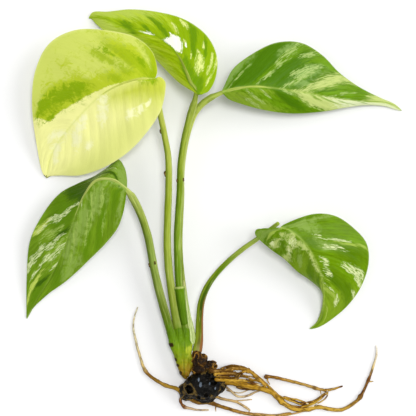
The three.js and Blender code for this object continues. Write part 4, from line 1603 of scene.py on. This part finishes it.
TOP_TINTS = (
    Tint("right_side", (134, 168, 4), feather=0.1, ragged=0.9, soft=0.35, cover=0.9,
        areas=(((-5, 0), (62, 0), (60, 50), (50, 110), (-5, 110)),)),
    Tint("pale_rim", (186, 204, 88), feather=0.14, ragged=0.8, soft=0.3, cover=0.8,
        areas=(((0, -80), (50, -76), (72, -40), (86, -20), (100, -20), (100, -120), (0, -120)),
            ((66, 60), (86, 40), (105, 20), (105, 120), (66, 120)))),
    Tint("deep", (98, 140, 2), ragged=0.9, soft=0.3, cover=0.9, feather=0.05,
        areas=(((2, 2), (34, 2), (36, 14), (20, 24), (14, 50), (5, 40)),
            ((65, -50), (70, -45), (78, -10), (84, 25), (79, 36), (74, 10), (69, -20))),
        strokes=((20, -10, 12, 10), (57, 35, 2, 26), (63, 50, 1.6, 20), (42, 75, 3, 24), (66, 15, 2, 14),
            (33, 80, 2, 16), (36, 50, 2, 14))),
    Tint("lime_streaks", (182, 204, 52), ragged=1.2, soft=0.3, cover=0.7,
        strokes=((36, -60, 3, 30), (20, -70, 5, 20), (10, -50, 6, 30), (70, 60, 2, 24), (80, 50, 1.8, 26),
            (50, -50, 2, 30), (54, 60, 2, 20), (60, -30, 2, 24))),
    Tint("cream_patches", (216, 226, 134), feather=0.022, ragged=1.5, soft=0.25, grain=Grain.HAIRY,
        fullness=0.8, areas=(((18, 30), (24, 26), (30, 38), (33, 56), (28, 60), (21, 50)),),
        strokes=((13, 70, 2.2, 10), (20, 70, 1.6, 9), (25, 80, 1.6, 10), (22, 95, 2, 8), (50, 86, 2, 8),
            (52, 60, 1.4, 10), (34, 78, 1.2, 6), (33, 32, 0.8, 6), (42, 40, 1.2, 5))),
    Tint("white_patches", (250, 252, 232), feather=0.018, ragged=0.9, soft=0.16, grain=Grain.HAIRY,
        areas=(((39, 10), (42, 2), (53, 0), (52, 12), (50, 24), (53, 34), (46, 38), (42, 30)),),
        strokes=((63, -4, 2.6, 10), (40, 36, 0.8, 4))))
TOP_BLADE = Blade(name="top_leaf", slot="lime_blade", seed=5.0,
    finish=LeafFinish(base=(156, 186, 10), rib=(98, 136, 4), back=(160, 182, 88), margin=(196, 212, 110),
        rib_show=0.5, depth=0.82, veil=0.12, gain=0.96, shift=7.7, tints=TOP_TINTS))

RIGHT_TINTS = (
    Tint("deep", (72, 117, 0), ragged=0.9, soft=0.3, cover=0.9, feather=0.07,
        areas=(((5, -4), (50, -4), (56, -30), (60, -75), (40, -105), (22, -100), (10, -50)),),
        strokes=((43, 45, 4.5, 40), (64, -25, 2, 20))),
    Tint("lit_green", (112, 154, 8), ragged=1.2, soft=0.4, cover=0.7,
        strokes=((42, -75, 3, 24), (55, -85, 3, 20), (30, -30, 2, 20), (48, -30, 2, 20))),
    # Partly the blade's grey-green mottling and partly painted sheen, where the waxy skin reflects the light.
    Tint("grey_green_and_sheen", (146, 178, 92), ragged=1.2, soft=0.45, cover=0.65, grain=Grain.BLOTCHY,
        strokes=((12, -95, 9, 26), (7, -55, 3, 16), (52, -52, 3.5, 20), (40, -88, 2, 12), (50, -20, 4, 10),
            (20, -66, 1.2, 5))),
    Tint("near_base", (146, 176, 48), ragged=1.1, soft=0.35, cover=0.75, feather=0.07,
        areas=(((2, 10), (12, 12), (24, 50), (36, 90), (30, 110), (2, 110)),
            ((24, 10), (32, 10), (33, 30), (26, 24)))),
    Tint("pale_field", (200, 213, 126), ragged=0.9, soft=0.3, cover=0.92, feather=0.045,
        areas=(((47, 4), (90, 0), (102, 0), (102, 110), (60, 110), (57, 80), (53, 60), (50, 40)),
            ((49, -2), (53, -3), (61, -20), (67, -50), (74, -90), (79, -110), (70, -110), (66, -80),
                (60, -48), (54, -20)), ((84, 0), (84, -40), (86, -110), (102, -110), (102, 0)))),
    Tint("pale_tip", (230, 236, 198), ragged=1.1, soft=0.35, cover=0.75, feather=0.08,
        areas=(((66, 6), (102, 0), (102, 110), (68, 110)),)),
    Tint("green_streaks", (112, 152, 16), ragged=1.2, soft=0.3, cover=0.75,
        strokes=((64, 30, 1.2, 30), (72, 50, 1, 30), (90, -30, 1.2, 40), (80, 30, 1, 30),
            (70, -50, 1.4, 30), (58, 20, 1.2, 14))),
    Tint("cream_streaks", (180, 202, 118), ragged=1.7, soft=0.28, cover=0.8, grain=Grain.HAIRY,
        fullness=0.68,
        strokes=((33, -33, 1.4, 30), (46, -24, 1.6, 20), (54, -60, 2, 20), (13, -42, 1, 26),
            (41, -80, 1.6, 20), (50, -85, 1.6, 14), (22, 40, 1.2, 30), (30, 28, 1, 16), (20, 75, 2, 20),
            (44, 12, 1.6, 10), (47, -45, 1.2, 14), (72, -30, 1.2, 20))))
RIGHT_BLADE = Blade(name="right_leaf", slot="green_blade", seed=9.0, sweep=(0.25, 0.12),
    finish=LeafFinish(base=(104, 147, 6), rib=(164, 188, 80), back=(146, 170, 92), margin=(160, 184, 84),
        rib_show=0.6, shift=12.3, tints=RIGHT_TINTS))

LEFT_TINTS = (
    # Partly the blade's grey-green mottling and partly painted sheen, where the waxy skin reflects the light.
    Tint("grey_green_and_sheen", (146, 172, 84), ragged=1.3, soft=0.45, cover=0.6, grain=Grain.BLOTCHY, feather=0.06,
        areas=(((-2, -110), (12, -110), (15, -50), (13, 10), (-2, 30)),
            ((22, -30), (28, -34), (30, -110), (24, -110)),
            ((20, 10), (60, 4), (66, 30), (50, 50), (24, 40)), ((54, 50), (68, 50), (70, 90), (56, 90))),
        strokes=((10, 60, 5, 30),)),
    Tint("deep", (90, 130, 2), ragged=1.1, soft=0.35, cover=0.85, feather=0.05,
        areas=(((40, -4), (60, -4), (62, -30), (50, -100), (42, -100)),
            ((77, -4), (93, -4), (96, -50), (80, -50)), ((70, 4), (76, 4), (78, 90), (70, 90))),
        strokes=((36, 30, 1.4, 20), (46, 70, 3, 20), (30, 60, 3, 20), (14, 40, 3, 30), (36, 80, 3, 16))),
    Tint("darkest", (58, 94, 0), ragged=0.9, soft=0.28, cover=0.95, feather=0.04,
        areas=(((25, -3), (41, -2), (43, -50), (41, -98), (33, -100), (28, -50)),),
        strokes=((20, -50, 2, 50), (58, -20, 2, 16), (82, -25, 2, 20))),
    Tint("yellow_green", (190, 208, 92), ragged=0.9, soft=0.25, cover=0.9,
        strokes=((61, -88, 2.6, 16), (85, -60, 2, 24, 70), (91, -80, 3, 40, 60))),
    Tint("fine_marks", (170, 194, 96), ragged=1.7, soft=0.3, cover=0.7, grain=Grain.HAIRY, fullness=0.64,
        strokes=((24, 24, 1.6, 20), (34, 30, 2, 20), (44, 50, 2, 20), (30, 70, 2, 14), (54, 35, 2, 26),
            (66, -20, 5, 16), (60, -50, 3, 20))),
    Tint("cream_streaks", (212, 224, 164), ragged=1.7, soft=0.25, cover=0.9, grain=Grain.HAIRY,
        fullness=0.7,
        strokes=((50, -45, 1.2, 30), (47, -35, 0.8, 30), (66, -40, 1.4, 20), (70, -30, 1.4, 24),
            (74, -40, 1.2, 30), (62, -30, 1.2, 14), (70, -62, 1.4, 20), (78, -90, 1.8, 14),
            (60, -80, 1.4, 14), (18, -75, 0.6, 24, 80), (72, -6, 1.4, 10))))
LEFT_BLADE = Blade(name="left_leaf", slot="dark_blade", seed=14.0, bend=0.03,
    finish=LeafFinish(base=(110, 146, 20), rib=(150, 178, 70), back=(140, 164, 88), margin=(150, 176, 76),
        rib_show=0.5, shift=18.9, tints=LEFT_TINTS))

LOWER_TINTS = (
    Tint("lit_side", (132, 162, 36), ragged=1.0, soft=0.4, cover=0.8, feather=0.1,
        areas=(((40, 10), (70, 6), (102, 0), (102, 110), (45, 110)),)),
    Tint("tip_wash", (150, 180, 44), ragged=1.3, soft=0.3, cover=0.5, feather=0.1, grain=Grain.STREAKY,
        areas=(((68, -110), (102, -110), (102, 110), (64, 110), (68, 0)),)),
    # Partly the blade's grey-green mottling and partly painted sheen, where the waxy skin reflects the light.
    Tint("grey_green_and_sheen", (146, 174, 82), ragged=1.2, soft=0.45, cover=0.7, grain=Grain.BLOTCHY, feather=0.05,
        areas=(((4, -25), (20, -20), (30, -36), (20, -60), (8, -50)),),
        strokes=((37, -30, 3, 20), (3, 30, 5, 100), (20, -75, 1.6, 20), (15, 62, 2, 30), (44, 55, 2, 20))),
    Tint("deep", (84, 122, 2), ragged=1.1, soft=0.35, cover=0.85,
        strokes=((8, -60, 3, 30), (55, 50, 5, 34), (66, 50, 3, 40), (72, -70, 5, 24), (27, 55, 3, 16),
            (92, 10, 4, 50), (46, -60, 4, 20), (64, -30, 3, 16), (32, -12, 4, 10), (22, 80, 2, 20))),
    Tint("pale_lines", (168, 192, 78), ragged=1.1, soft=0.3, cover=0.85,
        strokes=((70, 40, 1.2, 40), (76, 30, 1.2, 40), (86, -30, 1.2, 30), (15, 50, 1.2, 30),
            (45, -75, 0.8, 24), (72, -22, 1, 20))),
    Tint("cream_fields", (190, 206, 118), feather=0.03, ragged=1.3, soft=0.35, cover=0.9,
        grain=Grain.BLOTCHY, fullness=0.86,
        areas=(((15, 6), (36, 4), (38, 12), (34, 24), (36, 50), (42, 75), (45, 100), (40, 100), (35, 66),
            (28, 40), (18, 24)), ((34, 3), (58, 2), (55, 16), (40, 14)),
            ((17, 28), (20, 34), (30, 75), (32, 100), (29, 95), (22, 60)))),
    Tint("white_flecks", (222, 232, 170), ragged=1.8, soft=0.25, cover=0.92, grain=Grain.HAIRY,
        fullness=0.72,
        strokes=((42, -45, 1.8, 16), (58, -60, 1.8, 16), (60, -80, 2, 14), (64, -85, 1.4, 14),
            (47, -14, 3, 6), (57, -14, 3, 7), (78, -46, 2, 7), (29, -32, 0.8, 7), (38, -55, 0.8, 20),
            (27, 26, 3, 14), (26, 76, 1.2, 10), (74, -95, 1.2, 14), (70, -24, 0.6, 20), (36, 62, 1, 12))))
LOWER_BLADE = Blade(name="lower_leaf", slot="marbled_blade", seed=19.0, bend=0.02,
    finish=LeafFinish(base=(106, 145, 3), rib=(172, 194, 88), back=(150, 172, 90), margin=(150, 176, 70),
        rib_show=0.5, shift=23.3, tints=LOWER_TINTS))

BLADES = (CREAM_BLADE, TOP_BLADE, RIGHT_BLADE, LEFT_BLADE, LOWER_BLADE)

# ---------------------------------------------------------------- the other pieces' looks

# Painted light and shade: each stalk's left colour is shade painted down its left side, except the lower
# stalk's, which is painted light; the pale colour is also painted down each right side as a highlight.
PETIOLE_PIECES = (
    Petiole("cream_petiole", "pale_stalk",
        StalkFinish(((0, 92, 124, 16), (3.5, 126, 144, 54), (14, 132, 146, 52), (26, 152, 168, 68),
            (50, 144, 162, 42), (65, 160, 173, 66), (86, 170, 180, 72), (100, 190, 198, 88)),
            shade=(104, 124, 24), pale=(206, 214, 140)),
        scraps=(Scrap(0.62, 182, 3.4, 0.6), Scrap(0.79, 178, 2.6, 0.45)), seed=3),
    Petiole("left_petiole", "green_stalk",
        StalkFinish(((0, 84, 116, 6), (14, 80, 108, 6), (26, 94, 113, 26), (40, 134, 152, 68),
            (60, 130, 152, 66), (80, 124, 142, 46), (100, 158, 172, 84)), left=(78, 98, 22),
            left_from=0.32), scraps=(Scrap(0.52, 160, 2.6, 0.5), Scrap(0.53, 60, 2.0, 0.45)), seed=5),
    Petiole("top_petiole", "green_stalk",
        StalkFinish(((0, 80, 108, 6), (20, 88, 122, 10), (30, 104, 138, 24), (50, 122, 150, 38),
            (64, 110, 136, 20), (75, 136, 154, 42), (86, 152, 170, 58), (100, 142, 158, 60)),
            left=(70, 98, 6)), scraps=(Scrap(0.635, 150, 2.4, 0.45), Scrap(0.64, 30, 2.2, 0.45)), seed=7),
    Petiole("lower_petiole", "green_stalk",
        StalkFinish(((0, 150, 148, 74), (6, 96, 92, 24), (14, 94, 108, 10), (27, 46, 68, 2),
            (40, 62, 92, 2), (55, 92, 124, 12), (75, 146, 164, 64), (88, 116, 140, 60),
            (100, 148, 168, 58)), left=(128, 148, 30), left_to=0.7, blush=(132, 88, 44), blush_to=0.4),
        knee=0.0, stands_apart=True, seed=11),
    Petiole("right_petiole", "green_stalk",
        StalkFinish(((0, 176, 182, 122), (12, 142, 160, 70), (25, 104, 126, 24), (50, 132, 150, 48),
            (80, 176, 188, 80), (100, 168, 186, 80)), left=(110, 130, 30)), seed=13))

SCRAP_SKIN = RootFinish(stops=((0, 58, 38, 16), (50, 34, 26, 14), (100, 84, 56, 22)), stained=0.4)
SHEATH_SKIN = StalkFinish(((0, 72, 104, 4), (40, 78, 114, 4), (93, 92, 130, 10), (96, 172, 186, 104)),
    shade=(54, 82, 2), pale=(122, 152, 44))
PAPER_SKIN = PaperFinish(body=(202, 210, 152), vein=(146, 170, 82), edge=(184, 182, 116))
STEM_SKIN = StemFinish(((0, 86, 120, 8), (25, 94, 130, 8), (42, 112, 142, 14), (60, 122, 138, 16),
    (72, 140, 132, 20), (86, 130, 98, 16), (100, 92, 62, 12)))

CROWN_SKIN = LumpFinish(hollow=(28, 17, 6), body=(66, 42, 12), ridge=(144, 104, 34), painted_glint=(170, 150, 84),
    roughness=0.45, coat=0.05, mottle=2.0)
# The soil's painted glints are blue-grey reflections on its wet skin.
SOIL_SKIN = LumpFinish(hollow=(2, 2, 1), body=(15, 12, 8), ridge=(100, 80, 36), painted_glint=(92, 102, 114),
    roughness=0.3, coat=0.06)

COLLAR = Knob("rhizome_collar", "brown_crown", CROWN_SKIN,
    lumps=(Lump((-4.2, 15.8, 9.4), (2.7, 3.2, 3.2)), Lump((-3, 12, 8.8), (4.2, 3.8, 3.8)),
        Lump((2.9, 10.2, 7.6), (3.8, 2.8, 3)), Lump((-3, 8, 8), (4.6, 3.2, 4)),
        Lump((-1, 14, 7.6), (2.4, 3, 2.4))), fineness=0.2, ridge_size=4.5, ridge_height=0.9, ridge_core=0.6,
    rough_height=0.6, seed=61)
CLOD = Knob("soil_clod", "wet_soil", SOIL_SKIN,
    lumps=(Lump((-1.5, -1.5, 7), (10.6, 7.6, 8.4)), Lump((-9, -4, 4.6), (5.6, 5.4, 5.4)),
        Lump((6.8, 0.4, 6), (5, 5.8, 6)), Lump((0, -6.4, 3.6), (6.6, 4.4, 4.6)),
        Lump((1.6, 4, 8), (6.6, 4, 5.4))), fineness=0.28, ridge_size=5, ridge_height=0.4, ridge_core=0.06,
    rough_height=0.9,
    pits=((-8.4, -2.6, 2.4, 3.2, 1), (4.4, 1.6, 2.2, 1.4, 0.35), (-3.6, -6.8, 1.3, 1.2, 0.5),
        (0.6, -5.6, 1.2, 1.0, 0.5), (1.6, 5.6, 1.6, 1.2, 0.2)),
    # Painted glints: spots of reflection on the wet soil.
    glint_spots=((-3.4, 2.9, 0.55), (-2.4, 0.2, 0.75), (2.6, 0.8, 0.4), (5.6, -1.9, 0.4)),
    crumbs=((-5.8, -2.6, 1.2), (-4.6, -5.2, 1.4), (-11.6, 0.2, 1.6), (-11.4, -4.6, 1.6), (-8.3, -6.6, 1.5),
        (-1.4, -7.4, 1.4), (3.6, -6.4, 1.6), (8.4, -3, 1.5), (9.8, 0.4, 1.3), (-2.8, 7.2, 1.3),
        (2.6, 6.9, 1.1), (-10.4, 2.8, 1.3), (-8.6, 5, 1.2), (7, 4, 1.1)), seed=67)

ROOT_PIECES = (
    Root("thick_root", "root_skin",
        RootFinish(((0, 136, 98, 14), (20, 166, 126, 26), (40, 190, 150, 46), (62, 194, 158, 62),
            (74, 150, 112, 44), (76, 90, 54, 18), (86, 132, 86, 34), (89, 214, 190, 124),
            (100, 241, 238, 224))),
        strands=(
            Strand(0.8, 0.5,
                ((18, 0.9, 5.6), (25, 1.8, 4.4), (31, 1.4, 3.6), (36.5, -3.4, 3.2), (42, -9.6, 2.8),
                    (49, -12.6, 2.2), (57, -12.8, 1.9), (62, -11, 1.7))),
            Strand(0.55, 0.35,
                ((38, -5, 3.4), (43, -8, 3), (48.5, -10.2, 2.6), (54, -12, 2.4), (60, -12.6, 2.2))),
            Strand(1.1, 0.6,
                ((5, 3.2, 13), (7.8, 2.8, 12.2), (11.6, 2.2, 8.8), (16, 2, 7), (23.1, 1.6, 5),
                    (27.5, 0, 4.4), (31.9, -1.1, 4))),
            Strand(0.6, 0.45,
                ((42.9, -7.2, 2.6), (46.8, -8.3, 2.6), (51.2, -9.1, 2.6), (55.0, -10.5, 2.4),
                    (57.2, -11.6, 2.2))),
            Strand(0.7, 0.4,
                ((52.2, -13.2, 2.2), (56.7, -12.1, 2.4), (61.1, -10.2, 2.4), (64.4, -7.7, 2.2),
                    (66.6, -5.0, 2.0), (67.4, -3.9, 1.9))),
            Strand(0.45, 0.3,
                ((55.6, -14.9, 1.4), (60.0, -12.1, 1.4), (64.4, -9.9, 1.3), (67.1, -7.2, 1.3),
                    (67.7, -4.4, 1.3)))), spurs=((0.83, 2.2, 1.0), (0.5, 2.4, -1.0)),
        knots=((0.75, 0.5), (0.84, 0.25), (0.36, 0.3)), seed=71),
    Root("upper_root", "root_skin",
        RootFinish(((0, 70, 42, 8), (40, 112, 78, 18), (60, 158, 118, 34), (100, 190, 148, 54))),
        strands=(
            Strand(0.6, 0.35,
                ((8, 8.6, 10.8), (14, 10.2, 9.4), (20, 9.6, 8), (26, 6.4, 6.6), (31, 2.6, 5.6),
                    (35.6, -1.8, 4.6), (40, -6.4, 3.6))),
            Strand(0.5, 0.3,
                ((10, 5.6, 9.6), (16, 6.4, 8.6), (21, 4.8, 7.4), (27, 3.6, 6.4), (33, 0.4, 5))),
            Strand(1.1, 1.3, ((17.3, 6, 8.4), (12.7, 6.2, 9.6), (8.2, 5.9, 11.4), (4.6, 5.8, 12.4))),
            Strand(0.8, 0.7, ((18.4, 2.8, 6.6), (13.8, 3.6, 8), (9.4, 4.4, 10.6), (5.6, 5, 12.4))),
            Strand(0.55, 0.5, ((6.2, 5.2, 13.4), (9.6, 5.1, 12), (13, 5.2, 10.2), (16.6, 5.1, 9.2)), 0.0),
            Strand(0.5, 0.45, ((8, 6.9, 12.2), (11.6, 7, 10.8), (15.4, 7.1, 9.8)), 0.1),
            Strand(0.9, 0.7, ((17.8, 3.6, 9), (19.2, 5.4, 9.4), (20.6, 6.2, 9.4)), 0.0),
            Strand(0.45, 0.4, ((7.4, 3.7, 13.2), (11, 3.7, 10.2), (14.6, 3.2, 8.8)), 0.1),
            Strand(0.35, 0.3, ((22.4, 2.6, 6.4), (25, 1.4, 5.8), (27.4, 0.6, 5.4)), 0.1),
            # Painted shade: this strand lies in shadow along the thick root's lower edge, so it keeps the
            # ramp's darkest colour.
            Strand(0.9, 0.6, ((17, -1.6, 3.6), (21.4, -2.8, 3), (26.9, -3.4, 2.8), (31.4, -2.6, 3)), 0.05),
            Strand(1.0, 0.6, ((16.5, 3.8, 7.4), (18.4, 5.5, 8.2), (20.4, 6.6, 8.6), (22.6, 7.1, 8.2))),
            Strand(0.5, 0.35,
                ((13.8, 3.3, 6.6), (18.1, 4.1, 7), (22.6, 3.6, 6.4), (26.9, 2.2, 5.6), (31.4, 0.5, 4.8)))),
        knots=((0.62, 0.5), (0.35, 0.3)), lumps=0.3, seed=73),
    Root("loop_root", "root_skin",
        RootFinish(((0, 96, 58, 12), (15, 140, 98, 30), (30, 176, 140, 60), (50, 176, 142, 76),
            (62, 168, 128, 36), (78, 160, 118, 30), (84, 92, 52, 10), (100, 84, 46, 8))),
        strands=(Strand(0.9, 0.4, ((65.4, -3.9, 1.3), (69.8, -3.3, 1.2), (75.9, -1.6, 0.8))),),
        slimness=0.8,
        spurs=((0.03, 3.2, 1.0), (0.55, 2.0, 1.0)), knots=((0.02, 0.4), (0.5, 0.3)), seed=79),
    Root("bottom_root", "root_skin",
        RootFinish(((0, 128, 92, 26), (30, 110, 76, 26), (45, 140, 102, 28), (70, 186, 148, 84),
            (85, 190, 154, 92), (100, 158, 118, 30))),
        strands=(
            Strand(0.6, 0.4,
                ((20, -16, 1.6), (29, -18, 1.4), (38, -18.4, 1.3), (46, -17.4, 1.3), (54, -15.4, 1.3),
                    (60, -13.6, 1.4))),), spurs=((0.33, 2.6, 1.0), (0.62, 1.6, -1.0)), knots=((0.3, 0.3),),
        seed=83),
    Root("long_root", "pale_root_skin",
        RootFinish(((0, 146, 112, 30), (20, 148, 116, 28), (36, 122, 86, 24), (40, 128, 92, 30),
            (46, 200, 176, 112), (70, 218, 208, 166), (100, 226, 220, 184)), stained=0.35),
        knots=((0.43, 0.35), (0.2, 0.2)), waver=0.2, seed=89),
    Root("curl_root", "root_skin",
        RootFinish(((0, 120, 74, 30), (35, 112, 66, 30), (45, 190, 160, 120), (100, 206, 186, 148))),
        knots=((0.38, 0.35),), waver=0.15, seed=97),
    Root("fine_root", "root_skin", RootFinish(((0, 112, 82, 38), (50, 212, 190, 146), (100, 162, 134, 90))),
        strands=(
            Strand(0.35, 0.25,
                ((11.6, -3.4, 5), (15, -4.6, 3.6), (19.6, -5.2, 2.2), (24, -3.4, 2), (27.4, -2.2, 2.2))),),
        waver=0.2, seed=101),
    Root("short_root", "root_skin",
        RootFinish(((0, 134, 108, 64), (50, 188, 158, 106), (100, 204, 176, 120))),
        strands=(Strand(0.4, 0.3, ((9.6, -9, 3), (15, -9.4, 1.9), (21, -9.4, 1.4), (26, -9, 1.2))),),
        waver=0.2, seed=103))


# ---------------------------------------------------------------- stage and main


@dataclass(frozen=True)
class Lamp:
    """A broad distant light."""

    name: str
    toward: Point
    strength: float
    spread: float

    def build(self) -> None:
        """Adds the light."""
        lamp = bpy.data.lights.new(self.name, "SUN")
        lamp.energy = self.strength
        lamp.angle = math.radians(self.spread)
        sun = bpy.data.objects.new(self.name, lamp)
        sun.rotation_euler = Vector(self.toward).to_track_quat("Z", "Y").to_euler()
        bpy.context.scene.collection.objects.link(sun)


@dataclass(frozen=True)
class Stage:
    """The pale floor, the soft light and the camera that looks straight down."""

    floor_size: float = 3.0
    floor_drop: float = 0.0001
    sky: float = 0.2
    lamps: tuple[Lamp, ...] = (
        Lamp("key", (1.4, 0.3, 1.0), 1.7, 45.0),
        Lamp("top_fill", (0.1, 1.0, 1.0), 0.3, 60.0),
        Lamp("left_fill", (-1.0, 0.1, 1.0), 0.4, 60.0),
        Lamp("front_fill", (-0.2, -1.0, 1.0), 0.3, 60.0),
        Lamp("overhead", (0.1, 0.1, 1.0), 1.7, 16.0),
    )
    eye: Point = (0.00165, 0.09625, 1.2)
    sensor: float = 36.0
    field: float = 0.2288

    def build(self) -> None:
        """Builds the floor, lights and camera."""
        self._lay_floor()
        self._light()
        self._place_camera()
        bpy.context.scene.view_settings.view_transform = "Standard"

    def _lay_floor(self) -> None:
        """Lays the floor just below the plant."""
        deselect()
        low = SOLID_BOX[0][2] - self.floor_drop
        bpy.ops.mesh.primitive_plane_add(size=self.floor_size, location=(0, 0, low))
        floor = bpy.context.object
        floor.name = "floor"
        floor.data.materials.append(FloorFinish().build("floor"))

    def _light(self) -> None:
        """Adds an even sky and the lamps."""
        world = bpy.data.worlds.new("sky")
        world.use_nodes = True
        back = world.node_tree.nodes["Background"]
        back.inputs["Color"].default_value = (1, 1, 1, 1)
        back.inputs["Strength"].default_value = self.sky
        bpy.context.scene.world = world
        for lamp in self.lamps:
            lamp.build()

    def _place_camera(self) -> None:
        """Hangs the camera over the plant."""
        lens = bpy.data.cameras.new("camera")
        lens.sensor_width = self.sensor
        lens.lens = self.sensor * self.eye[2] / self.field
        camera = bpy.data.objects.new("camera", lens)
        camera.location = self.eye
        bpy.context.scene.collection.objects.link(camera)
        bpy.context.scene.camera = camera


def main() -> None:
    """Builds every piece and the stage."""
    logging.basicConfig(level=logging.INFO, format="%(message)s")
    for blade in BLADES:
        blade.build()
    for petiole in PETIOLE_PIECES:
        petiole.build()
    Sheath().build()
    SheathEdge().build()
    StemBase().build()
    COLLAR.build()
    CLOD.build()
    for root in ROOT_PIECES:
        root.build()
    Stage().build()


if __name__ == "__main__":
    main()
